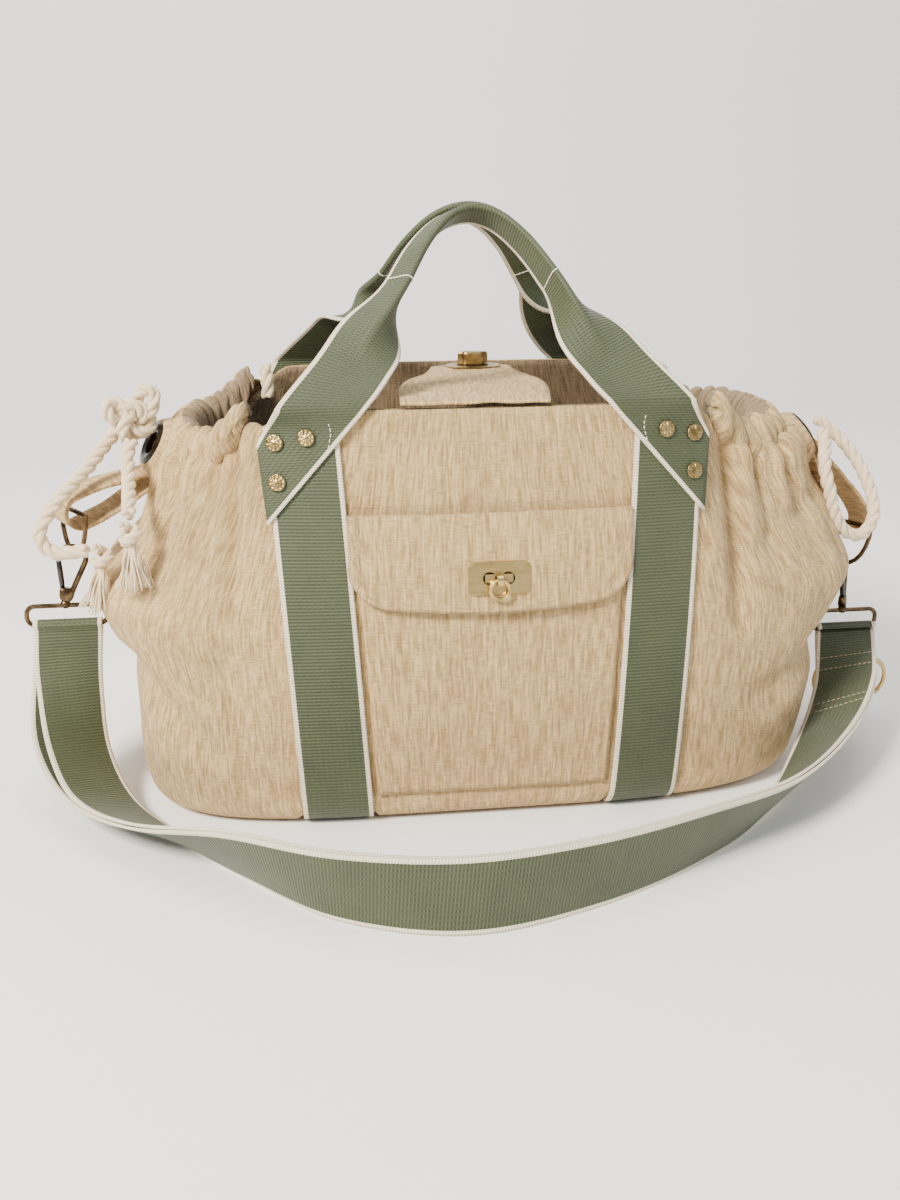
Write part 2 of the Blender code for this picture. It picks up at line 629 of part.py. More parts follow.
def flap_bottom(x):
    """Lower edge of the flap, with rounded corners."""
    into_corner = max(abs(x) - (FLAP_HALF - FLAP_CORNER), 0.0)
    bow = FLAP_BOW * (x / FLAP_HALF) ** 2
    return FLAP_BOTTOM + bow + FLAP_CORNER - math.sqrt(max(FLAP_CORNER**2 - into_corner**2, 0.0))


def pocket_flap():
    rows = 5
    half = [0.0, 0.020, 0.040, 0.0585, 0.066, 0.0725, 0.0765, FLAP_HALF]
    xs = [-x for x in half[:0:-1]] + half
    grids = []
    for thick in (FLAP_THICK, 0.0):
        grid = []
        for r in range(rows + 1):
            row = []
            for x in xs:
                low = flap_bottom(x)
                z = low + (FLAP_TOP - low) * r / rows
                row.append(front(x, z, flap_out(x) + thick))
            grid.append(row)
        grids.append(grid)
    made = slab("pocket_flap", grids[0], grids[1], "linen", origin=FLAP_HINGE)
    cut(made, slot_cutter("flap_slot", CLASP_SLOT[0], 0.0))
    return made


def clasp_frame():
    return wall_frame(CLASP_X, CLASP_Z, flap_out(CLASP_X))


def slot_cutter(name, length, middle, width=CLASP_SLOT[1]):
    """Oblong prism through the flap and the clasp plate."""
    place = clasp_frame()
    outline = oblong(length, width, min(length, width) / 2 - 0.0001)
    sections = [[place(x + middle, z, out) for x, z in outline] for out in (-0.004, 0.012)]
    made = loft(name, sections, "gunmetal")
    made.hide_render = True
    made.display_type = "WIRE"
    return made


def clasp_plate():
    """Plate on the flap, with a bridge across its slot and a short eye on the bridge."""
    place = clasp_frame()
    length, width, thick = CLASP_SIZE
    made = plate("clasp_plate", oblong(length, width, 0.003, bulge=0.0016),
                 lambda x, z, out: place(x, z, out + CLASP_FACE), thick, "brushed_brass",
                 origin=FLAP_HINGE, round_over=0.0005)
    window = (CLASP_SLOT[0] - BRIDGE) / 2
    for sign, name in ((-1, "clasp_window_left"), (1, "clasp_window_right")):
        cut(made, slot_cutter(name, window, sign * (BRIDGE + window) / 2))
    circle = [Vector((math.cos(2 * math.pi * k / 12), math.sin(2 * math.pi * k / 12))) for k in range(12)]
    sections = []
    for x, radius in ((-1, EYE_RADIUS), (1, EYE_RADIUS), (1, EYE_HOLE), (-1, EYE_HOLE)):
        sections.append([place(x * BRIDGE / 2, c.x * radius + RING_HANG, c.y * radius + CLASP_PIVOT)
                         for c in circle])
    eye = loft("clasp_eye", sections, "brushed_brass", closed=True)
    eye.hide_render = True
    eye.display_type = "WIRE"
    join(made, eye)


def clasp_post():
    """Post with two cheeks, on the pocket, that stand up through the flap and the plate."""
    place = clasp_frame()
    reach, half_high = 0.0078, 0.0023
    post = [(-reach, 0.0), (-reach, CHEEK_TOP), (-CHEEK_IN, CHEEK_TOP), (-CHEEK_IN, POST_BASE),
            (CHEEK_IN, POST_BASE), (CHEEK_IN, CHEEK_TOP), (reach, CHEEK_TOP), (reach, 0.0)]
    rest = pocket_out(CLASP_X, CLASP_Z) + POCKET_THICK + 0.0005 - flap_out(CLASP_X)
    sections = [[place(x, z, out + rest) for x, out in post] for z in (-half_high, half_high)]
    loft("clasp_post", sections, "brushed_brass")


def clasp_ring():
    place = clasp_frame()
    middle = place(0, RING_HANG, CLASP_PIVOT)
    circle = []
    for k in range(20):
        turn = 2 * math.pi * k / 20
        fall = RING_HANG + RING_RADIUS * (math.cos(turn) - 1)
        circle.append(place(RING_RADIUS * math.sin(turn), fall, CLASP_PIVOT))
    normal = place(0, 0, 1) - place(0, 0, 0)
    tube("clasp_ring", circle, RING_WIRE, "brushed_brass", normal, middle, closed=True)


def tube(name, points, radius, slot, normal, origin=(0, 0, 0), closed=False, sides=8):
    """Round wire along a flat route; normal is the route's plane normal."""
    normal = Vector(normal).normalized()
    sections = []
    count = len(points)
    for i, point in enumerate(points):
        before = points[i - 1] if closed or i else point
        after = points[(i + 1) % count] if closed or i < count - 1 else point
        along = (Vector(after) - Vector(before)).normalized()
        beside = along.cross(normal).normalized()
        sections.append([Vector(point) + radius * (normal * math.cos(2 * math.pi * k / sides)
                                                   + beside * math.sin(2 * math.pi * k / sides))
                         for k in range(sides)])
    return loft(name, sections, slot, origin, closed)


# ---------------------------------------------------------------- top tab and turn lock
def tab_sag(y):
    """How far the tab has sunk below its front edge, towards the lock."""
    t = min(max((y - TAB_HINGE_Y) / (TAB_LEVEL_Y - TAB_HINGE_Y), 0.0), 1.0)
    return TAB_SAG * t * t * (3 - 2 * t)


def top_tab():
    rows, columns = 12, 4
    grids = []
    for z in (TAB_LOW + TAB_THICK, TAB_LOW):
        grid = []
        for r in range(rows + 1):
            y = TAB_HINGE_Y + (TAB_END_Y - TAB_HINGE_Y) * r / rows
            middle, half = through(TAB_SHAPE, y)
            height = z - tab_sag(y)
            shares = [2 * c / columns - 1 for c in range(columns + 1)]
            grid.append([Vector((middle + half * share, y, height)) for share in shares])
        grids.append(grid)
    made = slab("top_tab", grids[0], grids[1], "linen", origin=TAB_HINGE)
    cut(made, lock_cutter("tab_slot"))
    return made


def level_place(x0, y0, z0):
    return lambda x, y, out: Vector((x0 + x, y0 + y, z0 + out))


def lock_cutter(name):
    place = level_place(LOCK_X, LOCK_Y, LOCK_FOOT)
    outline = oblong(LOCK_SLOT[0], LOCK_SLOT[1], LOCK_SLOT[1] / 2 - 0.0001)
    made = loft(name, [[place(x, y, z) for x, y in outline] for z in (0.0019, 0.0094)], "gunmetal")
    made.hide_render = True
    made.display_type = "WIRE"
    return made


def turn_lock():
    """Base and post on the back rim's facing, oval plate on the tab, and the knob."""
    length, width, thick = LOCK_PLATE
    lock_anchor()
    turnlock_base(oblong(length * 0.8, 0.0140, 0.0068, steps=6), thick)
    oval = oblong(length, width, width / 2 - 0.0002, steps=6)
    over_tab = TAB_LOW - TAB_SAG + TAB_THICK + GAP
    cover = plate("turnlock_plate", oval, level_place(LOCK_X, LOCK_Y, over_tab), thick, "antique_brass",
                  origin=TAB_HINGE, round_over=0.0004)
    cut(cover, lock_cutter("plate_slot"))
    turn_knob()


def lock_anchor():
    """Strip of the back facing that carries the lock's base."""
    half, front_y, back_y = 0.022, -0.0115, 0.0112
    outline = [(-half, back_y), (-half, front_y), (half, front_y), (half, back_y)]
    thick = 0.0020
    plate("lock_anchor", outline, level_place(LOCK_X, LOCK_Y, LOCK_FOOT - thick - 0.0004), thick, "linen")


def turnlock_base(foot, thick):
    """Oval foot with a round post standing on it."""
    sections = []
    for z, reach in ((0.0, 1.0), (thick, 1.0), (thick, 0.0), (LOCK_POST_HIGH, 0.0)):
        section = []
        for x, y in foot:
            turn = math.atan2(y, x)
            inner = Vector((LOCK_POST * math.cos(turn), LOCK_POST * math.sin(turn)))
            spot = Vector((x, y)) * reach + inner * (1 - reach)
            section.append(Vector((LOCK_X + spot.x, LOCK_Y + spot.y, LOCK_FOOT + z)))
        sections.append(section)
    loft("turnlock_base", sections, "antique_brass")


def turn_knob():
    """Fluted knob, long across the bag, that closes over the plate's slot when turned."""
    half_long, half_wide, flute = 0.0093, 0.0041, 0.07
    lobes = []
    for k in range(36):
        turn = 2 * math.pi * k / 36
        reach = 1 + flute * math.cos(6 * turn)
        lobes.append((half_long * reach * math.cos(turn), half_wide * reach * math.sin(turn)))
    rise = LOCK_FOOT + LOCK_POST_HIGH + GAP
    plate("turn_knob", lobes, level_place(LOCK_X, LOCK_Y, rise), 0.0078, "antique_brass",
          origin=(LOCK_X, LOCK_Y, rise), round_over=0.0012)


# ---------------------------------------------------------------- ends: eyelets, tabs, rings, hooks
def eyelet(name, end):
    """Flat ring on the outside of the casing, where the rope comes out."""
    sign = end["sign"]
    tilt, turn = [math.radians(angle) for angle in end["eyelet_turn"]]
    level = Vector((sign * math.cos(turn), -math.sin(turn), 0))
    out = level * math.cos(tilt) + Vector((0, 0, math.sin(tilt)))
    up = Vector((0, 0, math.cos(tilt))) - level * math.sin(tilt)
    side = Vector((sign * math.sin(turn), math.cos(turn), 0))
    middle = Vector(end["eyelet"])
    sections = []
    for k in range(20):
        turn = 2 * math.pi * k / 20
        ray = side * math.cos(turn) + up * math.sin(turn)
        section = [(EYELET_HOLE, 0.0), (EYELET_RADIUS, 0.0), (EYELET_RADIUS, EYELET_THICK * 0.5),
                   ((EYELET_HOLE + EYELET_RADIUS) / 2, EYELET_THICK), (EYELET_HOLE, EYELET_THICK * 0.5)]
        sections.append([middle + ray * r + out * o for r, o in section])
    return loft(name, sections, "gunmetal", closed=True)


def side_tab(name, end):
    """Cloth loop that holds the D-ring: a flattened loop, small at its root and open at its fold."""
    root, length, along, bar, over = tab_axes(end)
    loops = []
    for shrink in (0.0, TAB_CLOTH):
        outline = []
        ends = ((length, TAB_FOLD_RADIUS - shrink, -90), (0.0, TAB_ROOT_RADIUS - shrink, 90))
        for middle, radius, start in ends:
            for k in range(7):
                turn = math.radians(start + 180 * k / 6)
                outline.append((middle + radius * math.cos(turn), radius * math.sin(turn)))
        loops.append(outline)
    sections = []
    for half, outline in ((-1, loops[0]), (1, loops[0]), (1, loops[1]), (-1, loops[1])):
        sections.append([root + along * a + over * o + bar * half * TAB_WIDTH / 2 for a, o in outline])
    return loft(name, sections, "linen", closed=True)


def tab_axes(end):
    """Root, length, and the directions along, across and through a side tab."""
    root, fold = Vector(end["tab"][0]), Vector(end["tab"][1])
    along = (fold - root).normalized()
    turn = math.radians(end["tab_yaw"])
    bar = Vector((math.sin(turn), -math.cos(turn), 0))
    bar = (bar - along * bar.dot(along)).normalized()
    return root, (fold - root).length, along, bar, along.cross(bar).normalized()


def ring_axes(end):
    """Middle of a D-ring's bar, the bar's direction, and the way the ring hangs."""
    root, length, along, bar, over = tab_axes(end)
    turn = math.radians(end["ring_yaw"])
    bar = Vector((math.sin(turn), -math.cos(turn), 0))
    middle = root + along * (length + RING_SEAT)
    apex = hook_apex(end)
    down = Vector((apex.x, apex.y, apex.z - 2 * WIRE - RING_SLACK)) - middle
    middle += bar * down.dot(bar)
    return middle, bar, (down - bar * down.dot(bar)).normalized()


def d_ring(name, end):
    half, drop = D_RING
    middle, bar, down = ring_axes(end)
    points = [middle + bar * half * (1 - k / 2) for k in range(4)]
    for k in range(12):
        turn = math.pi * k / 12
        points.append(middle - bar * half * math.cos(turn) + down * drop * math.sin(turn))
    return tube(name, points, WIRE, "bronze", bar.cross(down), middle, closed=True)


def hook_axes(end):
    """Foot, sideways and upward directions, and plane normal of a snap hook."""
    lean = Matrix.Rotation(math.radians(end["lean"]), 3, "Y")
    turn = lean @ Matrix.Rotation(math.radians(end["swivel"]), 3, "Z")
    return Vector(end["hook"]), turn @ Vector((1, 0, 0)), turn @ Vector((0, 0, 1)), turn @ Vector((0, 1, 0))


def hook_apex(end):
    foot, across, up, normal = hook_axes(end)
    return foot + up * HOOK_HIGH


def snap_hook(name, end):
    """Hook frame: a foot block with one leg that runs over the top and ends above the gate."""
    foot, across, up, normal = hook_axes(end)
    place = lambda u, w: foot + across * u + up * w
    crown = 0.0075
    arch = []
    for k in range(11):
        turn = math.radians(90 - 18 * k)
        arch.append(place(HOOK_HALF * math.sin(turn), HOOK_HIGH - crown + crown * math.cos(turn)))
    leg = [place(0.0022, 0.004), place(0.0036, 0.009), place(0.0060, 0.019)]
    nose = [place(-0.0077, 0.0250)]
    frame = tube(name + "_frame", leg + arch + nose, WIRE, "bronze", normal)
    frame.hide_render = True
    frame.display_type = "WIRE"
    block = []
    for w, half_u, half_n in ((0.0008, 0.0026, 0.0026), (0.0030, 0.0040, 0.0026), (0.0062, 0.0040, 0.0022)):
        corners = ((1, 1), (-1, 1), (-1, -1), (1, -1))
        block.append([place(u * half_u, w) + normal * n * half_n for u, n in corners])
    made = loft(name, block, "bronze", origin=foot)
    join(made, frame)
    return made


def hook_gate(name, end):
    foot, across, up, normal = hook_axes(end)
    low = foot + across * -0.0030 + up * 0.0078
    high = foot + across * -0.0075 + up * 0.0242
    return tube(name, [low, low.lerp(high, 0.5), high], WIRE * 0.9, "gunmetal", normal, low, sides=8)


def swivel_loop(name, end):
    """Wide wire loop under the hook that the shoulder strap folds over."""
    foot = Vector(end["hook"])
    middle = foot + Vector((0, 0, -0.0030 - LOOP_DROP / 2))
    outline = oblong(2 * LOOP_HALF, LOOP_DROP, 0.0050, steps=4)
    points = [middle + Vector((x, 0, z)) for x, z in outline]
    return tube(name, points, WIRE, "bronze", (0, 1, 0), closed=True)


# ---------------------------------------------------------------- shoulder strap and ropes
def shoulder_strap():
    upper = smooth_route(STRAP_UPPER, STRAP_STEPS)
    lower = smooth_route(STRAP_LOWER, STRAP_STEPS)
    sections = []
    for i in range(STRAP_STEPS + 1):
        before, after = max(i - 1, 0), min(i + 1, STRAP_STEPS)
        along = (upper[after] + lower[after] - upper[before] - lower[before]).normalized()
        across = (upper[i] - lower[i]).normalized()
        away = along.cross(across).normalized() * STRAP_THICK / 2
        section = [upper[i] + away, lower[i] + away, lower[i] - away, upper[i] - away]
        lift = max(0.0, GAP - min(p.z for p in section))
        sections.append([p + Vector((0, 0, lift)) for p in section])
    return loft("shoulder_strap", sections, "webbing")


def slider():
    """Oval slider behind the strap's right end, seen beyond the strap's edge."""
    outline = oblong(0.0500, 0.0270, 0.0130, steps=5)
    points = [Vector(SLIDER_PLACE) + Vector((x, 0, z)) for x, z in outline]
    return tube("strap_slider", points, 0.0016, "brushed_brass", (0, 1, 0), closed=True)


def lump(name, middle, direction, rows, slot, sides=10):
    """Turned solid along a direction: rows of (distance along, radius)."""
    axis = Vector(direction).normalized()
    side = axis.orthogonal().normalized()
    other = axis.cross(side)
    rays = []
    for k in range(sides):
        turn = 2 * math.pi * k / sides
        rays.append(side * math.cos(turn) + other * math.sin(turn))
    centre = Vector(middle)
    sections = [[centre + axis * distance + ray * radius for ray in rays] for distance, radius in rows]
    return loft(name, sections, slot)


def ropes():
    for name, route in ROPE_ROUTES.items():
        steps = 14 if len(route) < 8 else 36
        wire(name, smooth_route(route, steps), ROPE / 2, "rope")
    for name, route in ROPE_TAILS.items():
        wire(name, smooth_route(route, 6), ROPE / 2, "rope")
    lump("rope_bow_left", BOW, (0, 0, 1), [(-0.013, 0.005), (-0.008, 0.011), (0.0, 0.013), (0.008, 0.011),
                                           (0.014, 0.006)], "rope", sides=12)
    for name, (middle, direction) in TASSELS.items():
        lump(name, middle, direction, [(-0.006, 0.003), (-0.003, 0.0062), (0.003, 0.0062), (0.007, 0.0042),
                                       (0.018, 0.0085), (0.030, 0.0110)], "rope")


# ---------------------------------------------------------------- the whole bag
def main():
    for old in list(bpy.data.objects):
        bpy.data.objects.remove(old, do_unlink=True)
    wall("front_panel", "front")
    wall("back_panel", "back")
    wall("end_panel_left", "left")
    wall("end_panel_right", "right")
    base_panel()
    lining()
    for label, end in ENDS.items():
        sign = end["sign"]
        casing("casing_" + label, sign)
        band("webbing_" + label, sign)
        eyelet("eyelet_" + label, end)
        side_tab("side_tab_" + label, end)
        d_ring("d_ring_" + label, end)
        snap_hook("snap_hook_" + label, end)
        hook_gate("hook_gate_" + label, end)
        swivel_loop("swivel_loop_" + label, end)
        for side, face in ((-1, "front"), (1, "back")):
            handle_foot(f"handle_foot_{face}_{label}", sign, side)
            for number, (x, z) in enumerate(RIVETS, 1):
                rivet(f"rivet_{face}_{label}_{number}", sign * x, z, side)
    handle("handle_front", -1)
    handle("handle_back", 1)
    pocket_panel()
    pocket_flap()
    clasp_plate()
    clasp_post()
    clasp_ring()
    top_tab()
    turn_lock()
    shoulder_strap()
    slider()
    ropes()


main()
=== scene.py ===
import math

import bmesh
import bpy
from mathutils import Matrix, Vector, noise


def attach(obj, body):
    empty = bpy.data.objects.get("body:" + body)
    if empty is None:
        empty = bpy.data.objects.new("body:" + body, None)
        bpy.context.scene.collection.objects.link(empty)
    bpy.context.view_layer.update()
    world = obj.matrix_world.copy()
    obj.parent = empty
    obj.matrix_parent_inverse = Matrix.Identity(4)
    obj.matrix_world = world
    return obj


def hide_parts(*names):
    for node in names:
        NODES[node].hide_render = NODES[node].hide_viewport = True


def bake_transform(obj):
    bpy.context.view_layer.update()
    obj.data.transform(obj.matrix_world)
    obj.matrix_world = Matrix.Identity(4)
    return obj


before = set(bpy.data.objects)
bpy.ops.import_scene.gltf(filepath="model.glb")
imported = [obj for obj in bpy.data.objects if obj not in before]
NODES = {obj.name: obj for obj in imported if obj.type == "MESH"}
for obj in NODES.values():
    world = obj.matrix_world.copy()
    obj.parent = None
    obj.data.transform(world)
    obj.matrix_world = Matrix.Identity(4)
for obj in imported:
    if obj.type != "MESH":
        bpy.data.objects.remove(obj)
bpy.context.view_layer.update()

TURN = 2 * math.pi

# ---- dimensions repeated from the CAD, metres
RIM, BASE_ROUND, END_RIM = 0.236, 0.014, 0.19
WEB_WIDTH, WEB_THICK = 0.04, 0.0017
BAND_X_LOW, BAND_X_HIGH, BAND_TOP = 0.089, 0.103, 0.226
BODY = [(0.0, 0.2, 0.203, 0.1135), (0.03, 0.205, 0.211, 0.1145), (0.075, 0.206, 0.221, 0.112),
        (0.12, 0.216, 0.231, 0.107), (0.16, 0.196, 0.224, 0.1005), (0.2, 0.183, 0.2, 0.0935),
        (0.236, 0.171, 0.182, 0.0865)]
SQUARE_LEFT, SQUARE_RIGHT, SQUARE_RIM = 4.4, 3.6, 2.8
RIVETS = [(0.117, 0.2195), (0.1, 0.2225), (0.1165, 0.199)]
HANDLE_HALF = [(-0.091, 0.2385), (-0.0725, 0.258), (-0.0555, 0.281), (-0.0425, 0.301), (-0.0295, 0.319),
               (-0.0145, 0.332), (0.0, 0.336)]
HANDLE_RIM_Y, HANDLE_TOP_Y, HANDLE_HINGE_Z = 0.088, 0.0125, 0.2385
GRIP_HALF, FOLD_DONE, FOLD_OPENING = 0.042, 0.072, math.radians(14)
GRIP_ROLL = {-1: (125, 88), 1: (-50, -10)}
FOOT_OUT = 0.00365            # middle of a handle foot's webbing, off the wall
TAB_SHAPE = [(-0.085, -0.007, 0.0415), (-0.035, -0.001, 0.04), (0.01, 0.005, 0.033),
             (0.045, 0.01, 0.027), (0.0805, 0.014, 0.0255)]
TAB_SAG, TAB_LEVEL_Y = 0.0062, 0.052
LOOP_DROP, HOOK_HIGH, HOOK_HALF = 0.012, 0.034, 0.0078
ENDS = {
    "left": {"sign": -1, "eyelet": (-0.188, -0.015, 0.2065), "turn": (30, 18),
             "hook": (-0.244, -0.03, 0.1165), "lean": 13, "swivel": 0,
             "tab": ((-0.1985, -0.008, 0.1835), (-0.2345, -0.028, 0.1715)), "yaw": 28},
    "right": {"sign": 1, "eyelet": (0.21, -0.015, 0.203), "turn": (34, 0),
              "hook": (0.25, -0.012, 0.0845), "lean": -3, "swivel": 58,
              "tab": ((0.217, -0.014, 0.187), (0.2495, -0.011, 0.142)), "yaw": 16},
}
FLAP_HALF, FLAP_TOP, FLAP_BOTTOM, FLAP_CORNER, FLAP_BOW = 0.0785, 0.181, 0.128, 0.02, 0.005
STRAP_UPPER = [
    (-0.264, -0.03, 0.099), (-0.265, -0.036, 0.07), (-0.257, -0.068, 0.038), (-0.24, -0.101, 0.021),
    (-0.205, -0.139, 0.023), (-0.152, -0.177, 0.036), (-0.096, -0.212, 0.04), (-0.031, -0.225, 0.04),
    (0.037, -0.215, 0.04), (0.104, -0.19, 0.039), (0.167, -0.156, 0.036), (0.219, -0.108, 0.04),
    (0.26, -0.05, 0.047), (0.2735, -0.012, 0.067),
]
STRAP_LOWER = [
    (-0.224, -0.03, 0.099), (-0.227, -0.032, 0.058), (-0.224, -0.048, 0.027), (-0.208, -0.08, 0.008),
    (-0.18, -0.116, 0.002), (-0.139, -0.164, 0.0), (-0.093, -0.21, 0.0), (-0.031, -0.231, 0.0),
    (0.036, -0.215, 0.0), (0.099, -0.181, 0.0), (0.153, -0.137, 0.003), (0.194, -0.085, 0.018),
    (0.225, -0.036, 0.037), (0.2335, -0.012, 0.067),
]
ROPES = {
    "rope_left_front": [
        (-0.199, -0.027, 0.2105), (-0.201, -0.033, 0.204), (-0.2, -0.046, 0.193), (-0.1988, -0.064, 0.185),
        (-0.198, -0.076, 0.18),
    ],
    "rope_left_back": [
        (-0.2085, -0.01, 0.214), (-0.216, -0.02, 0.206), (-0.225, -0.032, 0.196), (-0.236, -0.046, 0.186),
        (-0.246, -0.056, 0.1745), (-0.25, -0.059, 0.1655), (-0.2472, -0.059, 0.158),
        (-0.24, -0.06, 0.1545), (-0.231, -0.061, 0.1555), (-0.224, -0.062, 0.1565),
    ],
    "rope_right": [
        (0.2195, -0.024, 0.205), (0.2185, -0.032, 0.199), (0.2155, -0.04, 0.193), (0.2145, -0.045, 0.185),
        (0.2176, -0.048, 0.1719), (0.2225, -0.048, 0.1566), (0.2316, -0.046, 0.1455),
        (0.2428, -0.043, 0.1425), (0.2517, -0.038, 0.15), (0.254, -0.031, 0.1618), (0.25, -0.02, 0.1784),
        (0.242, -0.01, 0.1924), (0.233, -0.006, 0.2015), (0.224, -0.004, 0.2085),
    ],
}
ROPE_TAILS = {
    "rope_tail_left": [(-0.1215, 0.06, 0.239), (-0.1205, 0.054, 0.23), (-0.1205, 0.052, 0.22)],
    "rope_tail_right": [(0.139, 0.056, 0.233), (0.131, 0.046, 0.2335), (0.124, 0.036, 0.233)],
}
BOW = Vector((-0.1965, -0.0165, 0.2275))
TASSELS = {"tassel_left_front": ((-0.1975, -0.081, 0.1705), (0.02, 0.0, -1.0)),
           "tassel_left_back": ((-0.2161, -0.062, 0.1525), (-0.15, 0.0, -1.0))}

# ---- the scene's own dimensions, metres
# soft folds in the ends' cloth: two ends of a line as (x, height), then half width and depth; a
# depth below zero is a bulge
DRAPES = [
    ((-0.138, 0.232), (-0.143, 0.14), 0.0055, 0.014),
    ((-0.158, 0.212), (-0.16, 0.15), 0.005, 0.004),
    ((-0.214, 0.132), (-0.165, 0.108), 0.016, -0.0095),
    ((-0.207, 0.09), (-0.16, 0.045), 0.008, 0.008),
    ((-0.152, 0.095), (-0.13, 0.02), 0.01, 0.004),
    ((0.141, 0.225), (0.15, 0.108), 0.0055, 0.014),
    ((0.165, 0.212), (0.176, 0.165), 0.004, 0.005),
    ((0.228, 0.125), (0.178, 0.132), 0.018, -0.008),
    ((0.222, 0.09), (0.165, 0.06), 0.01, 0.008),
    ((0.203, 0.175), (0.15, 0.142), 0.008, 0.0045),
]
# a rivet's (radius, height) from rim to middle, and the stitch line on a handle's foot
RIVET_PROFILE = [(0.0047, -0.0003), (0.0047, 0.0007), (0.004, 0.0011), (0.0036, 0.0008), (0.0031, 0.0009),
                 (0.0023, 0.0014), (0.0017, 0.0012), (0.0012, 0.0014), (0.0002, 0.0016)]
FOOT_SEAM = [(0.1215, 0.225), (0.1139, 0.2275), (0.101, 0.2305), (0.0884, 0.2325), (0.0865, 0.225),
             (0.0885, 0.216)]
TUCK_ROWS, FOOT_ROWS = 7, 14


# ---- curves
def through(keys, value):
    """Smooth curve through keyed rows (x, a, b, ...); returns the other columns at x = value."""
    value = min(max(value, keys[0][0]), keys[-1][0])
    i = max(k for k in range(len(keys) - 1) if keys[k][0] <= value)
    before, low, high = keys[max(i - 1, 0)], keys[i], keys[i + 1]
    after = keys[min(i + 2, len(keys) - 1)]
    span = high[0] - low[0]
    t = (value - low[0]) / span
    out = []
    for k in range(1, len(low)):
        enter = (high[k] - before[k]) / (high[0] - before[0]) * span
        leave = (after[k] - low[k]) / (after[0] - low[0]) * span
        out.append((2 * t**3 - 3 * t**2 + 1) * low[k] + (t**3 - 2 * t**2 + t) * enter
                   + (3 * t**2 - 2 * t**3) * high[k] + (t**3 - t**2) * leave)
    return out


def running_length(points):
    run = [0.0]
    for a, b in zip(points, points[1:]):
        run.append(run[-1] + (b - a).length)
    return run


def length_of(points):
    return running_length(points)[-1]


def centre_of(points):
    return sum(points, Vector()) / len(points)


def resample(points, steps):
    """Evenly spaced points along a polyline."""
    run = running_length(points)
    out, k = [], 0
    for i in range(steps + 1):
        want = run[-1] * i / steps
        while k < len(run) - 2 and run[k + 1] < want:
            k += 1
        part = (want - run[k]) / max(run[k + 1] - run[k], 1e-9)
        out.append(points[k].lerp(points[k + 1], min(max(part, 0.0), 1.0)))
    return out


def smooth_route(route, steps):
    """Evenly spaced points along a smooth curve through a route's places."""
    keys = [(at, *place) for at, place in zip(running_length([Vector(place) for place in route]), route)]
    return resample([Vector(through(keys, keys[-1][0] * i / 400)) for i in range(401)], steps)


def smoothstep(low, high, value):
    t = min(max((value - low) / (high - low), 0.0), 1.0)
    return t * t * (3 - 2 * t)


def signed_power(value, power):
    return math.copysign(abs(value) ** power, value)


def uneven(x, y, z):
    """Smooth noise at a place, from -1 to 1."""
    return noise.noise(Vector((x, y, z)))


# ---- node materials
class Shader:
    """A Principled material with short calls for the nodes that drive it."""

    def __init__(self, name, roughness, metallic=0.0, sheen=0.0, use_uv=True):
        self.material = bpy.data.materials.new(name)
        self.material.use_nodes = True
        self.tree = self.material.node_tree
        self.bsdf = self.tree.nodes["Principled BSDF"]
        for socket, value in (("Roughness", roughness), ("Metallic", metallic), ("Sheen Weight", sheen)):
            self.bsdf.inputs[socket].default_value = value
        self.where = self.tree.nodes.new("ShaderNodeTexCoord").outputs["UV" if use_uv else "Object"]

    def feed(self, socket, value):
        if isinstance(value, bpy.types.NodeSocket):
            self.tree.links.new(value, socket)
        else:
            socket.default_value = value

    def math(self, operation, a, b=0.0):
        node = self.tree.nodes.new("ShaderNodeMath")
        node.operation = operation
        self.feed(node.inputs[0], a)
        self.feed(node.inputs[1], b)
        return node.outputs[0]

    def total(self, *parts):
        """Sum of values, each with its weight."""
        out = None
        for value, weight in parts:
            term = self.math("MULTIPLY", value, weight)
            out = term if out is None else self.math("ADD", out, term)
        return out

    def node(self, kind, **inputs):
        made = self.tree.nodes.new("ShaderNode" + kind)
        for name, value in inputs.items():
            self.feed(made.inputs[name], value)
        return made

    def noise(self, scale, detail):
        """Noise stretched by a scale in each direction, per metre."""
        mapping = self.node("Mapping", Scale=scale, Vector=self.where)
        return self.node("TexNoise", Scale=1.0, Detail=detail, Vector=mapping.outputs[0]).outputs["Fac"]

    def threads(self, pitch_across, pitch_along, rows=0.0):
        """Woven relief from crossed sine waves; rows is the share that runs straight across."""
        split = self.node("SeparateXYZ", Vector=self.where)
        across = self.math("SINE", self.math("MULTIPLY", split.outputs[0], TURN / pitch_across))
        along = self.math("SINE", self.math("MULTIPLY", split.outputs[1], TURN / pitch_along))
        crossing = self.math("ADD", self.math("MULTIPLY", across, 1.0 - rows), rows)
        return self.math("ADD", self.math("MULTIPLY", self.math("MULTIPLY", crossing, along), 0.5), 0.5)

    def ramp(self, value, stops):
        node = self.node("ValToRGB", Fac=value)
        elements = node.color_ramp.elements
        for element, (position, color) in zip(elements, stops):
            element.position = position
            element.color = (*color, 1.0)
        for position, color in stops[2:]:
            elements.new(position).color = (*color, 1.0)
        return node.outputs[0]

    def bump(self, height, strength, distance):
        node = self.node("Bump", Strength=strength, Distance=distance, Height=height)
        self.feed(self.bsdf.inputs["Normal"], node.outputs[0])

    def color(self, value):
        self.feed(self.bsdf.inputs["Base Color"], value)


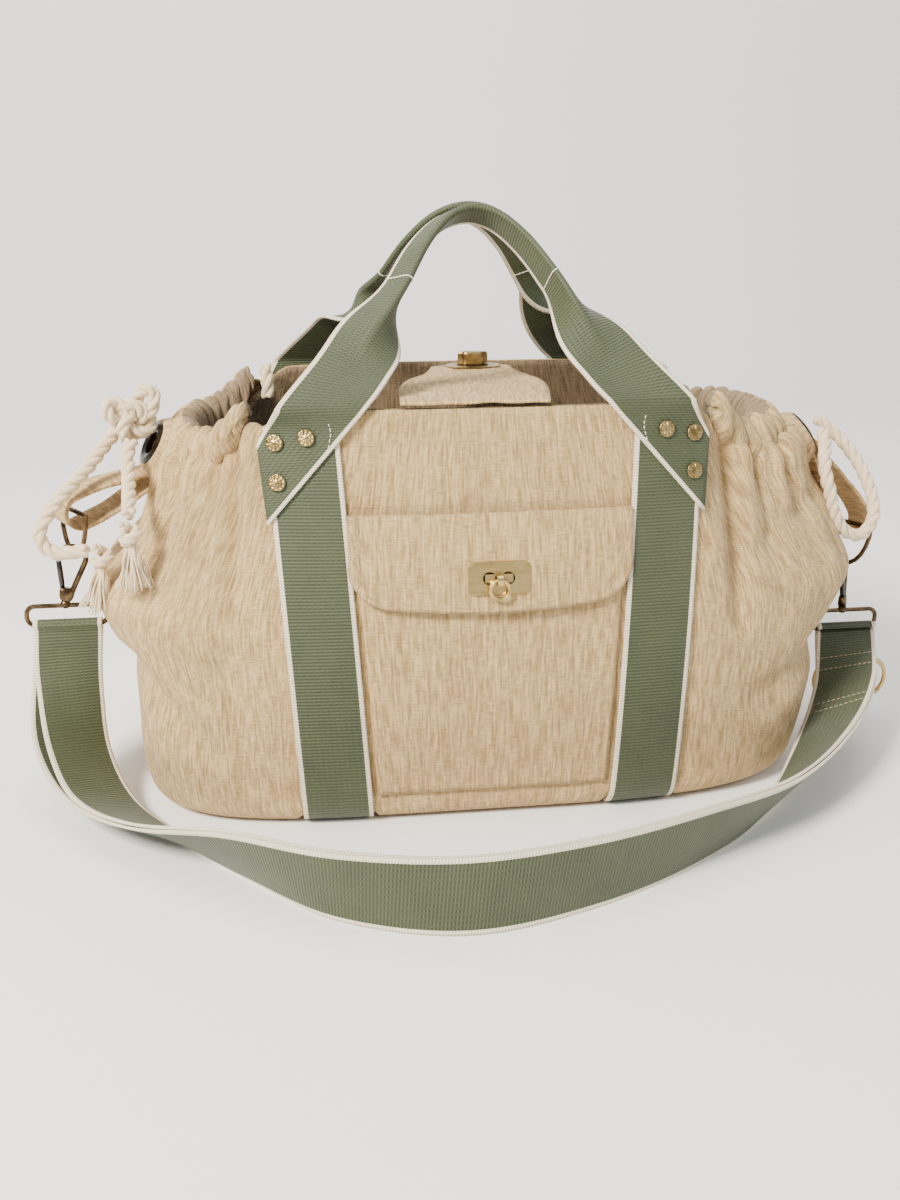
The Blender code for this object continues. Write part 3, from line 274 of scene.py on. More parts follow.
def linen(name, dark, middle, light, use_uv=True):
    """Slubbed linen: uneven vertical yarns over a plain weave."""
    made = Shader(name, 0.92, sheen=0.15, use_uv=use_uv)

    def yarns(across, along, detail):
        return made.noise((across, along, across) if use_uv else (across, across, along), detail)

    fine = yarns(780, 72, 4)
    broad = yarns(340, 18, 3)
    weft = yarns(150, 1000, 3)
    patch = made.noise((24, 24, 24), 3)
    weave = made.threads(0.0013, 0.0012)
    shade = made.total((fine, 0.44), (broad, 0.16), (weft, 0.24), (patch, 0.04), (weave, 0.12))
    made.color(made.ramp(shade, [(0.41, dark), (0.59, light), (0.5, middle)]))
    made.bump(made.total((fine, 1.2), (weft, 0.5), (broad, 0.8), (weave, 0.6)), 0.9, 0.001)
    return made.material


def webbing(name, dark, light, rough, across=0.003, along=0.0019):
    """Tight webbing: rows of ribs across its width, each broken into short threads."""
    made = Shader(name, rough, sheen=0.1)
    ribs = made.threads(across, along, rows=0.6)
    wear = made.noise((45, 45, 45), 4)
    grain = made.noise((1500, 500, 500), 2)
    shade = made.total((ribs, 0.55), (wear, 0.27), (grain, 0.18))
    made.color(made.ramp(shade, [(0.22, dark), (0.82, light)]))
    made.bump(made.total((ribs, 1.0), (grain, 0.5)), 0.8, 0.0006)
    return made.material


def cotton(name, dark, light):
    made = Shader(name, 0.95, sheen=0.2, use_uv=False)
    fibre = made.noise((1500, 1500, 1500), 4)
    made.color(made.ramp(fibre, [(0.3, dark), (0.65, light)]))
    made.bump(fibre, 0.5, 0.0003)
    return made.material


def metal(name, dark, light, rough, brush=(300, 300, 300)):
    """Aged metal: patches of patina, fine scratches and uneven gloss."""
    made = Shader(name, rough, metallic=1.0, use_uv=False)
    patina = made.noise((160, 160, 160), 5)
    scratch = made.noise(brush, 3)
    made.color(made.ramp(made.total((patina, 0.7), (scratch, 0.3)), [(0.36, dark), (0.6, light)]))
    gloss = made.math("ADD", made.math("MULTIPLY", scratch, 0.22), rough - 0.11)
    made.feed(made.bsdf.inputs["Roughness"], gloss)
    made.bump(scratch, 0.12, 0.0002)
    return made.material


CLOTH = ((0.33, 0.2, 0.074), (0.56, 0.372, 0.158), (0.82, 0.595, 0.29))
LINEN = linen("linen_slub", *CLOTH)
# painted shade: the same linen much darker, for cloth that faces into the bag (the casing's inner side and
# the top rows of the lining)
LINEN_PAINTED_SHADE = linen("linen_painted_shade", (0.14, 0.088, 0.042), (0.265, 0.178, 0.092), (0.39, 0.28, 0.16))
# painted shade: linen near black, for the lining deep inside the bag
LINING_PAINTED_DEEP_SHADE = linen("lining_painted_deep_shade", (0.035, 0.024, 0.018), (0.06, 0.042, 0.032), (0.095, 0.069, 0.053))
GREEN = webbing("webbing_green", (0.016, 0.024, 0.009), (0.076, 0.094, 0.036), 0.6)
CREAM = webbing("webbing_edge", (0.58, 0.49, 0.35), (0.88, 0.8, 0.66), 0.85, across=0.0022, along=0.0016)
THREAD = cotton("stitch_thread", (0.66, 0.58, 0.45), (0.88, 0.82, 0.7))
TAN_THREAD = cotton("tan_thread", (0.36, 0.26, 0.15), (0.56, 0.43, 0.28))
ROPE = cotton("rope_cotton", (0.52, 0.38, 0.21), (0.86, 0.73, 0.51))
ANTIQUE = metal("antique_brass_aged", (0.13, 0.085, 0.032), (0.42, 0.31, 0.13), 0.34)
BRUSHED = metal("brushed_brass_fine", (0.5, 0.36, 0.13), (0.62, 0.46, 0.2), 0.32, brush=(40, 900, 900))
BRONZE = metal("bronze_dark", (0.045, 0.03, 0.018), (0.16, 0.105, 0.055), 0.32)
GUNMETAL = metal("gunmetal", (0.02, 0.019, 0.018), (0.06, 0.057, 0.054), 0.3)


# ---- mesh tools
def new_object(name, data):
    made = bpy.data.objects.new(name, data)
    bpy.context.scene.collection.objects.link(made)
    return made


def link(name, mesh, materials, body, replaces=()):
    """Put a finished mesh in the scene, on its body, standing for its CAD nodes."""
    made = new_object(name, mesh)
    for material in materials:
        mesh.materials.append(material)
    mesh.shade_smooth()
    if body:
        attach(made, body)
    if replaces:
        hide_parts(*replaces)
    return made


def finish_mesh(name, work):
    mesh = bpy.data.meshes.new(name)
    work.to_mesh(mesh)
    work.free()
    return mesh


def closed_mesh(name, work):
    bmesh.ops.recalc_face_normals(work, faces=work.faces)
    return finish_mesh(name, work)


def grid_mesh(name, rows, pick_material=None, closed=False, flip=False, turned=False, even=None):
    """Mesh over rows of points, with UV in metres: across the row, then along the rows.

    Between the two rows numbered in even the cloth runs straight; beyond them each column keeps
    its own length."""
    work = bmesh.new()
    layer = work.loops.layers.uv.new("UVMap")
    count = len(rows[0])
    middle_row = rows[len(rows) // 2]
    across = [0.0]
    for k in range(count):
        across.append(across[-1] + (middle_row[(k + 1) % count] - middle_row[k]).length)
    along = [[0.0] * count]
    for a, b in zip(rows, rows[1:]):
        along.append([along[-1][0] + (b[count // 2] - a[count // 2]).length] * count)
    first, last = even or (0, len(rows) - 1)
    for i in range(first - 1, -1, -1):
        along[i] = [v - (p - q).length for v, p, q in zip(along[i + 1], rows[i + 1], rows[i])]
    for i in range(last + 1, len(rows)):
        along[i] = [v + (p - q).length for v, p, q in zip(along[i - 1], rows[i], rows[i - 1])]
    verts = [[work.verts.new(p) for p in row] for row in rows]
    for r in range(len(rows) - 1):
        for c in range(count if closed else count - 1):
            d = (c + 1) % count
            corners = [(r, c, across[c]), (r, d, across[c + 1]),
                       (r + 1, d, across[c + 1]), (r + 1, c, across[c])]
            if flip:
                corners.reverse()
            face = work.faces.new([verts[i][j] for i, j, u in corners])
            for loop, (i, j, u) in zip(face.loops, corners):
                loop[layer].uv = (along[i][j], u) if turned else (u, along[i][j])
            if pick_material:
                face.material_index = pick_material(r, c)
    return finish_mesh(name, work)


def thicken(target, thickness, offset=-1.0):
    solid = target.modifiers.new("thickness", "SOLIDIFY")
    solid.thickness = thickness
    solid.offset = offset
    return target


def around(a, b, turn):
    """The direction at an angle from a towards b."""
    return a * math.cos(turn) + b * math.sin(turn)


def axes_along(points, side):
    """Two directions square to a line at each of its points, carried along it without a twist."""
    out = []
    for i in range(len(points)):
        along = (points[min(i + 1, len(points) - 1)] - points[max(i - 1, 0)]).normalized()
        side = (side - along * side.dot(along)).normalized()
        out.append((side, along.cross(side)))
    return out


def loft(work, rings):
    """Faces between rings of vertices, with a cap on the first and the last."""
    count = len(rings[0])
    for low, high in zip(rings, rings[1:]):
        for k in range(count):
            j = (k + 1) % count
            work.faces.new([low[k], low[j], high[j], high[k]])
    work.faces.new(rings[0][::-1])
    work.faces.new(rings[-1])


def tube_into(work, points, radius_at, sides=10):
    """Add a capped tube along points to a bmesh; radius_at(share) gives its radius."""
    start = (points[1] - points[0]).normalized()
    first = start.cross(Vector((0, 0, 1) if abs(start.z) < 0.9 else (1, 0, 0))).normalized()
    rings = []
    for i, (side, other) in enumerate(axes_along(points, first)):
        radius = radius_at(i / (len(points) - 1))
        rings.append([work.verts.new(points[i] + radius * around(side, other, TURN * k / sides))
                      for k in range(sides)])
    loft(work, rings)


def stitches(name, lines, material, body, pitch=0.004, length=0.0028, radius=0.00032):
    """Sewn thread: one short raised stitch after another along each line of points."""
    work = bmesh.new()
    for line in lines:
        steps = max(int(length_of(line) / pitch), 1)
        marks = resample(line, steps)
        for a, b in zip(marks, marks[1:]):
            share = length / pitch
            points = [a.lerp(b, share * k / 4) for k in range(5)]
            tube_into(work, points, lambda t: radius * (0.35 + 0.65 * math.sin(math.pi * t)), 6)
    return link(name, closed_mesh(name, work), [material], body)


def top_stitches(name, lines, body):
    return stitches(name, lines, TAN_THREAD, body, pitch=0.0032, length=0.0023, radius=0.00026)


# ---- the body's surface
def band_x(z):
    return BAND_X_LOW + (BAND_X_HIGH - BAND_X_LOW) * z / RIM


def plan(z, shrink, x):
    """Reach, depth and squareness of the body's outline at a height, on the side where x is."""
    left, right, depth = through(BODY, z)
    reach, square = (right, SQUARE_RIGHT) if x > 0 else (left, SQUARE_LEFT)
    rise = min(max(z / RIM, 0.0), 1.0)
    return reach - shrink, depth - shrink, square + (SQUARE_RIM - square) * rise


def wall_depth(x, z, shrink=0.0):
    reach, depth, square = plan(z, shrink, x)
    return depth * (1 - min(abs(x) / reach, 1.0) ** square) ** (1 / square)


def front(x, z, out=0.0, side=-1):
    return Vector((x, side * wall_depth(x, z, -out), z))


def rim_height(x):
    return RIM + (END_RIM - RIM) * smoothstep(0.112, 0.162, abs(x))


def outline_point(turn, sides):
    c, s = math.cos(turn), math.sin(turn)
    reach, depth, square = sides[c > 0]
    return Vector((reach * signed_power(c, 2 / square), depth * signed_power(s, 2 / square), 0))


def ring(z, shrink, count):
    """Evenly spaced points round the body at a height, from the middle of the front to +X."""
    sides = [plan(z, shrink, x) for x in (-1, 1)]
    return resample([outline_point(TURN * (k / 960 - 0.25), sides) for k in range(961)], count)[:-1]


def pleat(x, y, count, wander, pace, sharpness):
    """Folds that fan out round an end: 0 in a crease, 1 at the top of a fold."""
    turn = math.atan2(y, abs(x) - 0.105)
    drift = math.sin(pace * turn + (1.3 if x > 0 else 0.2))
    return abs(math.sin(count * turn + wander * drift)) ** sharpness


def puff(x, y):
    """The close gathers of a casing."""
    return pleat(x, y, 29, 1.6, 4.1, 0.6)


def gather(x, y):
    """The wide folds of the wall below a casing."""
    return pleat(x, y, 12.5, 1.1, 3.3, 0.7)


def drape(x, z):
    """The listed folds in the ends' cloth."""
    out = 0.0
    here = Vector((x, z))
    for start, end, width, depth in DRAPES:
        start, end = Vector(start), Vector(end)
        line = end - start
        share = min(max((here - start).dot(line) / line.length_squared, 0.0), 1.0)
        away = (here - start - line * share).length / width
        if away < 3:
            out -= depth * math.exp(-away * away) * (1 - 0.55 * share)
    return out


def slack(x, y, z, drop, mask):
    """How far the cloth stands off its plain shape."""
    low = smoothstep(0.004, 0.05, z)
    folds = uneven(x * 12, y * 12, z * 9 + 3.1) * 0.0058
    folds += uneven(x * 34, y * 34, z * 24) * 0.0011
    reach = 0.038 + 0.03 * uneven(x * 40, y * 40, 1.0)
    pleats = ((gather(x, y) - 0.62) * 0.0105 * math.exp(-drop / max(reach, 0.01))
              + (puff(x, y) - 0.7) * 0.0022 * math.exp(-drop / 0.012))
    loose = low * (folds + drape(x, z)) + pleats
    calm = 0.0009 * uneven(x * 16, 4.0, z * 13) * low
    calm *= smoothstep(0.0, 0.014, abs(abs(x) - band_x(z)) - WEB_WIDTH / 2)
    return mask * loose + (1 - mask) * calm


def base_edge(radius, steps):
    """(height, shrink) round the base's edge, up to the foot of the wall."""
    turns = [math.pi / 2 * k / steps for k in range(steps + 1)]
    return [(BASE_ROUND - radius * math.cos(turn), BASE_ROUND - radius * math.sin(turn)) for turn in turns]


def band_bulge(z):
    """How far the band under the base lifts the cloth next to it."""
    return 0.0026 * max(0.0, 1 - z / 0.06)


def body_rows(inset, count, tuck=0.018):
    """Rows of points from the base's edge to the rim, then tucked in under the casings."""
    heights = [(z, shrink, 0.0) for z, shrink in base_edge(BASE_ROUND - inset, 8)]
    heights += [(BASE_ROUND + (RIM - BASE_ROUND) * k / 54, inset, 0.0) for k in range(1, 55)]
    for k in range(1, TUCK_ROWS + 1):
        turn = math.pi / 2 * k / TUCK_ROWS
        heights.append((RIM, inset + 0.01 * (1 - math.cos(turn)), tuck * math.sin(turn)))
    ends = [p.x for p in ring(0.2, inset, count)]
    tops = [rim_height(x) for x in ends]
    rows = []
    rings = {}
    for z, shrink, above in heights:
        row = []
        for k, top in enumerate(tops):
            climb = (top - BASE_ROUND) / (RIM - BASE_ROUND)
            at = z if z <= BASE_ROUND else BASE_ROUND + (z - BASE_ROUND) * climb
            tucked = smoothstep(0.122, 0.142, abs(ends[k]))
            inward = inset + (shrink - inset) * tucked if above else shrink
            key = (round(at, 4), round(inward, 4))
            if key not in rings:
                rings[key] = ring(key[0], inward, count)
            p = rings[key][k]
            q = rings[key][(k + 1) % count]
            outward = Vector((q.y - p.y, p.x - q.x, 0)).normalized()
            off = slack(p.x, p.y, at, top - at, smoothstep(0.124, 0.146, abs(p.x)))
            near_band = 1 - smoothstep(0.0, 0.004, abs(abs(p.x) - band_x(at)) - WEB_WIDTH / 2)
            rise = above * tucked * (0.66 + 0.5 * gather(p.x, p.y))
            row.append(Vector((p.x, p.y, at + near_band * band_bulge(at) + rise)) + outward * off)
        rows.append(row)
    return rows


def with_floor(rows):
    """Rows from the middle of the base out to its edge, then the rows given."""
    middle = centre_of(rows[0])
    return [[middle.lerp(p, (k + 0.02) / 5) for p in rows[0]] for k in range(5)] + rows


def bag_body():
    rows = with_floor(body_rows(0.0, 560))
    mesh = grid_mesh("bag_shell", rows, closed=True, even=(0, len(rows) - 1 - TUCK_ROWS))
    shell = link("bag_shell", mesh, [LINEN], "bag",
                 ["front_panel", "back_panel", "end_panel_left", "end_panel_right", "base_panel"])
    thicken(shell, 0.002)
    rows = with_floor(body_rows(0.004, 280, tuck=0.006))
    # the lining is painted in shade: the linen in painted shade on its top rows, near-black painted deep
    # shade below them
    lighter_shade_from = len(rows) - 20
    mesh = grid_mesh("bag_lining", rows, lambda r, c: 1 if r > lighter_shade_from else 0, closed=True)
    inside = link("bag_lining", mesh, [LINING_PAINTED_DEEP_SHADE, LINEN_PAINTED_SHADE], "bag", ["lining"])
    thicken(inside, 0.0008)


def casing(name, sign):
    """Gathered rope casing: cloth drawn up along the rope into puffs and creases."""
    steps, sides = 420, [plan(0.212, 0.0085, x) for x in (-1, 1)]
    reach, _, square = sides[sign > 0]
    first = math.acos((0.131 / reach) ** (square / 2))
    turns = [first * (i / 300 - 1) for i in range(601)]
    arc = resample([outline_point(turn if sign > 0 else math.pi - turn, sides) for turn in turns], steps)
    sections = []
    for i, p in enumerate(arc):
        along = (arc[min(i + 1, steps)] - arc[max(i - 1, 0)]).normalized()
        outward = Vector((along.y, -along.x, 0)) * sign
        ends = min(i / steps, 1 - i / steps)
        full = min(1.0, 0.8 + 1.2 * ends) * math.sqrt(max(1 - (1 - min(ends / 0.035, 1.0)) ** 2, 0.002))
        swell = puff(p.x, p.y)
        lumps = uneven(p.x * 42, p.y * 42, 5.0)
        height = 0.0152 * full * (0.84 + 0.18 * swell + 0.16 * lumps)
        thick = 0.0104 * (0.3 + 0.7 * min(full * 1.3, 1.0)) * (0.74 + 0.34 * swell + 0.18 * lumps)
        middle = Vector((p.x, p.y, rim_height(p.x) + 0.016 * min(1.0, 0.6 + 2.2 * ends)))
        section = []
        for k in range(32):
            turn = TURN * k / 32
            crease = 1 + 0.07 * uneven(p.x * 150, p.y * 150, 2.2 * math.cos(turn))
            crease += 0.05 * math.sin(3 * turn + 2.5 * swell)
            lean = along * 0.0024 * uneven(p.x * 60, p.y * 60, 2 * math.sin(turn) + 9)
            section.append(middle + outward * thick * crease * math.cos(turn)
                           + Vector((0, 0, height * crease * math.sin(turn))) + lean)
        sections.append(section)
    caps = [[centre_of(section).lerp(p, 0.05) for p in section] for section in (sections[0], sections[-1])]
    # the inner half of the casing, which faces into the bag, takes the linen in painted shade
    inner = lambda r, c: 1 if math.cos(TURN * (c + 0.5) / 32) < -0.05 else 0
    mesh = grid_mesh(name, [caps[0], *sections, caps[1]], inner, closed=True, flip=sign < 0, turned=True)
    return link("gathered_" + name, mesh, [LINEN, LINEN_PAINTED_SHADE], "bag", [name])


def eyelet_collar(label, end):
    """Cloth drawn up round the eyelet where the rope leaves the casing."""
    tilt, turned = [math.radians(angle) for angle in end["turn"]]
    level = Vector((end["sign"] * math.cos(turned), -math.sin(turned), 0))
    out = level * math.cos(tilt) + Vector((0, 0, math.sin(tilt)))
    up = Vector((0, 0, math.cos(tilt))) - level * math.sin(tilt)
    side = Vector((end["sign"] * math.sin(turned), math.cos(turned), 0))
    rows = []
    for depth, radius in ((-0.0006, 0.0078), (-0.0004, 0.0128), (-0.0004, 0.0146), (-0.003, 0.0163),
                          (-0.007, 0.0178), (-0.012, 0.0196), (-0.018, 0.0216)):
        row = []
        for k in range(72):
            turn = TURN * k / 72
            folds = 0.06 * math.sin(9 * turn) + 0.05 * math.sin(14 * turn + 1)
            stretch = radius * (1 + folds * smoothstep(0, 0.01, -depth))
            row.append(Vector(end["eyelet"]) + around(side * 1.1, up, turn) * stretch + out * depth)
        rows.append(row)
    mesh = grid_mesh("eyelet_collar_" + label, rows, closed=True, flip=True)
    return thicken(link("eyelet_collar_" + label, mesh, [LINEN], "bag"), 0.001)


# ---- webbing
ACROSS = [-1.0, -0.94, -0.87, -0.66, -0.33, -0.12, -0.08, -0.04, 0.0,
          0.04, 0.08, 0.12, 0.33, 0.66, 0.87, 0.94, 1.0]


def edge_columns(r, c):
    """Pale selvedge at both edges, green between."""
    return 1 if c < 2 or c > len(ACROSS) - 4 else 0


def band(name, sign):
    """Webbing from one rim, down a wall, under the base and up to the other rim."""
    levels = base_edge(BASE_ROUND + 0.0009, 6)
    levels += [(BASE_ROUND + (BAND_TOP - BASE_ROUND) * k / 40, -0.0009) for k in range(1, 41)]
    halves = []
    for side in (-1, 1):
        rows = []
        for z, shrink in levels:
            xs = [sign * band_x(z) + v * WEB_WIDTH / 2 for v in ACROSS]
            lift = band_bulge(max(z, 0))
            rows.append([Vector((x, side * wall_depth(x, z, shrink), z + lift)) for x in xs])
        halves.append(rows)
    under = [[a.lerp(b, k / 12) for a, b in zip(halves[0][0], halves[1][0])] for k in range(1, 12)]
    mesh = grid_mesh(name, halves[0][::-1] + under + halves[1], edge_columns, flip=True)
    made = link("band_" + name, mesh, [GREEN, CREAM], "bag", ["webbing_" + name])
    return thicken(made, WEB_THICK, offset=1.0)


def web_row(fold, roll):
    """Places across webbing folded about its middle: (inward, towards the bag's middle)."""
    last = (roll - FOLD_OPENING / 2) * fold
    first = (roll + FOLD_OPENING / 2 - math.pi) * fold
    steps = 100
    line = [Vector((0.0, 0.0))]
    for k in range(steps):
        turn = first + (last - first) * smoothstep(-0.12, 0.12, 2 * (k + 0.5) / steps - 1)
        line.append(line[-1] + Vector((math.cos(turn), math.sin(turn))) * WEB_WIDTH / steps)
    centre = sum(line, Vector((0.0, 0.0))) / len(line)
    return [line[round((v + 1) / 2 * steps)] - centre for v in ACROSS]


def foot_rows(sign, side):
    """A handle's sewn end, from its point up to the rim."""
    rows = []
    for k in range(FOOT_ROWS + 1):
        outer = Vector((0.1265, 0.218)).lerp(Vector((0.116, 0.238)), k / FOOT_ROWS)
        inner = Vector((0.1225, 0.1755)).lerp(Vector((0.066, 0.238)), k / FOOT_ROWS)
        row = []
        for v in ACROSS:
            spot = outer.lerp(inner, (v + 1) / 2)
            place = front(sign * spot.x, min(spot.y, 0.236), FOOT_OUT, side)
            leave = smoothstep(0.222, 0.2385, spot.y)
            row.append(Vector((place.x, place.y + (side * HANDLE_RIM_Y - place.y) * leave, spot.y)))
        rows.append(row)
    return rows


def handle(name, side):
    """One length of webbing: a flat foot on the wall, up over the rim, folded double at the grip."""
    lean = Vector((0, HANDLE_TOP_Y - HANDLE_RIM_Y, HANDLE_HALF[-1][1] - HANDLE_HINGE_Z)).normalized()
    route = HANDLE_HALF + [(-x, z) for x, z in HANDLE_HALF[-2::-1]]
    arch = smooth_route([(x, 0, (z - HANDLE_HINGE_Z) / lean.z) for x, z in route], 110)
    last = len(arch) - 1
    left, right = GRIP_ROLL[side]
    rows = []
    for i, point in enumerate(arch):
        along = (arch[min(i + 1, last)] - arch[max(i - 1, 0)]).normalized()
        inward = Vector((along.z, 0, -along.x))
        end_share = max(0.0, 1 - min(i, last - i) / 14)
        inward = inward.lerp(Vector((math.copysign(1.0, along.z), 0, 0)), end_share)
        inward *= 1 / inward.cross(along).length
        fold = 1 - smoothstep(GRIP_HALF, FOLD_DONE, abs(point.x))
        share = min(max((point.x + GRIP_HALF) / (2 * GRIP_HALF), 0.0), 1.0)
        row = []
        for across, to_middle in web_row(fold, math.radians(left + (right - left) * share)):
            flat = point + inward * across
            y = HANDLE_RIM_Y + lean.y * flat.z - to_middle * lean.z
            row.append(Vector((flat.x, side * y, HANDLE_HINGE_Z + lean.z * flat.z + to_middle * lean.y)))
        rows.append(row)
    lines = []
    for x in (-GRIP_HALF - 0.001, GRIP_HALF + 0.001):
        i = min(range(last), key=lambda k: abs(arch[k].x - x))
        row, beyond = rows[i], rows[i + 1]
        for off in (-0.0011, 0.0011):
            lines.append([row[k] + (row[k + 1] - row[k - 1]).cross(beyond[k] - row[k]).normalized() * off
                          for k in range(1, len(row) - 1)])
    rows = foot_rows(-1, side)[:-1] + rows + foot_rows(1, side)[-2::-1]
    label = name.split("_")[1]
    mesh = grid_mesh(name, rows, edge_columns, flip=side > 0, even=(FOOT_ROWS, len(rows) - 1 - FOOT_ROWS))
    made = link("webbing_" + name, mesh, [GREEN, CREAM], None,
                [name, f"handle_foot_{label}_left", f"handle_foot_{label}_right"])
    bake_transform(made)
    thicken(made, WEB_THICK, offset=0.0)
    stitches(f"grip_stitches_{label}", lines, THREAD, name, pitch=0.0026, length=0.0026,
             radius=0.0005)
    for sign, end in ((-1, "left"), (1, "right")):
        line = [front(sign * x, z, FOOT_OUT + 0.0011, side) for x, z in FOOT_SEAM]
        stitches(f"foot_stitches_{label}_{end}", [line], THREAD, "bag", pitch=0.003,
                 length=0.0022)
        rivets(sign, side, label, end)
    return made


def rivets(sign, side, label, end):
    """Domed rivets with a ring of petals."""
    work = bmesh.new()
    for x, z in RIVETS:
        wall = lambda right, high: front(sign * x + right, z + high, 0.0053, side)
        up = (wall(0, 0.004) - wall(0, -0.004)).normalized()
        across = (wall(0.004, 0) - wall(-0.004, 0)).normalized()
        away = across.cross(up).normalized() * -side
        rings = []
        for radius, height in RIVET_PROFILE:
            petal = 0.00042 if 0.002 < radius < 0.0038 else 0.0
            rings.append([work.verts.new(wall(0, 0) + around(across, up, TURN * k / 40) * radius
                                         + away * (height + petal * math.cos(9 * TURN * k / 40)))
                          for k in range(40)])
        loft(work, rings)
    name = f"rivets_{label}_{end}"
    return link(name, closed_mesh(name, work), [ANTIQUE], "bag",
                [f"rivet_{label}_{end}_{k}" for k in (1, 2, 3)])


# ---- pocket and top tab
def shares(count):
    """Evenly spaced values from -1 to 1."""
    return [2 * c / (count - 1) - 1 for c in range(count)]


def flap_low(x):
    into = max(abs(x) - (FLAP_HALF - FLAP_CORNER), 0.0)
    return (FLAP_BOTTOM + FLAP_BOW * (x / FLAP_HALF) ** 2 + FLAP_CORNER
            - math.sqrt(max(FLAP_CORNER**2 - into**2, 0.0)))


def flap_point(x, z, out=0.0):
    crown = 0.0048 * (1 - (x / FLAP_HALF) ** 2)
    hang = smoothstep(0.0, 0.03, FLAP_TOP - z)
    ripple = 0.0008 * uneven(x * 26, 1.0, z * 30)
    edge = min(FLAP_HALF - abs(x), z - flap_low(x))
    turned = 0.0009 * smoothstep(-0.0002, 0.0014, edge) * (1 - smoothstep(0.003, 0.0046, edge))
    return front(x, z, 0.0026 + (0.35 + 0.65 * hang) * crown + 0.0008 * hang + ripple + turned + out)


def pocket():
    rows = []
    for r in range(41):
        z = 0.02 + 0.152 * r / 40
        half = 0.0655 + band_x(z) - BAND_X_LOW
        swell = 0.0026 * smoothstep(0, 0.03, z - 0.02)
        rows.append([front(half * t, z, 0.0008 + swell * (1 - t * t) + 0.0006 * uneven(t * 3, 2, z * 22))
                     for t in shares(49)])
    made = link("pocket", grid_mesh("pocket", rows), [LINEN], "bag", ["pocket_panel"])
    thicken(made, 0.0012, offset=1.0)
    hems = [[front(-0.08 + 0.16 * k / 40, z, 0.0003) for k in range(41)] for z in (0.2175, 0.185)]
    top_stitches("front_stitches", hems, "bag")


def cut_slot(target):
    """Cut the clasp's slot, with round ends, through the flap."""
    outline = []
    for cx, start in ((0.0055, -90), (-0.0055, 90)):
        for k in range(13):
            turn = math.radians(start + 180 * k / 12)
            outline.append((0.002 + cx + 0.0036 * math.cos(turn), 0.1465 + 0.0036 * math.sin(turn)))
    work = bmesh.new()
    loft(work, [[work.verts.new((x, y, z)) for x, z in outline] for y in (-0.098, -0.126)])
    tool = new_object("flap_slot_tool", closed_mesh("flap_slot_tool", work))
    hole = target.modifiers.new("slot", "BOOLEAN")
    hole.operation = "DIFFERENCE"
    hole.solver = "EXACT"
    hole.object = tool
    bpy.context.view_layer.update()
    baked = bpy.data.meshes.new_from_object(target.evaluated_get(bpy.context.evaluated_depsgraph_get()))
    target.modifiers.clear()
    target.data = baked
    bpy.data.objects.remove(tool)


def flap():
    straight = FLAP_HALF - FLAP_CORNER
    half = [k / 24 * straight for k in range(25)]
    half += [straight + FLAP_CORNER * math.sin(math.pi / 2 * k / 12) for k in range(1, 13)]
    xs = [-x for x in half[:0:-1]] + half
    rows = [[flap_point(x, flap_low(x) + (FLAP_TOP - flap_low(x)) * r / 24) for x in xs] for r in range(25)]
    made = link("flap", grid_mesh("flap", rows), [LINEN], "pocket_flap", ["pocket_flap"])
    thicken(made, 0.0022, offset=1.0)
    cut_slot(made)
    inset = 0.0042
    line = []
    for k in range(121):
        x = (FLAP_HALF - inset) * math.sin(math.pi / 2 * (k / 60 - 1))
        line.append(flap_point(x, flap_low(x * FLAP_HALF / (FLAP_HALF - inset)) + inset, 0.0024))
    left, right = [[flap_point(x, FLAP_TOP - 0.002 - 0.03 * k / 20, 0.0024) for k in range(21)]
                   for x in (-FLAP_HALF + inset, FLAP_HALF - inset)]
    top_stitches("flap_stitches", [left + line + right[::-1]], "pocket_flap")


def top_tab():
    rows = []
    for r in range(61):
        y = -0.085 + 0.1655 * r / 60
        belly = math.sin(math.pi * r / 60)
        middle, half = through(TAB_SHAPE, y)
        half = (half + 0.004 * belly) * (1 - 0.3 * smoothstep(0.073, 0.0805, y) ** 2)
        sag = -TAB_SAG * smoothstep(-0.085, TAB_LEVEL_Y, y)
        rows.append([Vector((middle + half * t, y, 0.239 + sag
                             + (0.0008 * uneven(t * 2.5, y * 25, 7) + 0.0022 * belly))) for t in shares(33)])
    made = link("tab", grid_mesh("tab", rows), [LINEN], "top_tab", ["top_tab"])
    edge = [row[1] for row in rows] + [row[-2] for row in rows[::-1]]
    top_stitches("tab_stitches", [[p + Vector((0, 0, 0.0011)) for p in edge]], "top_tab")
    return thicken(made, 0.0018, offset=0.0)


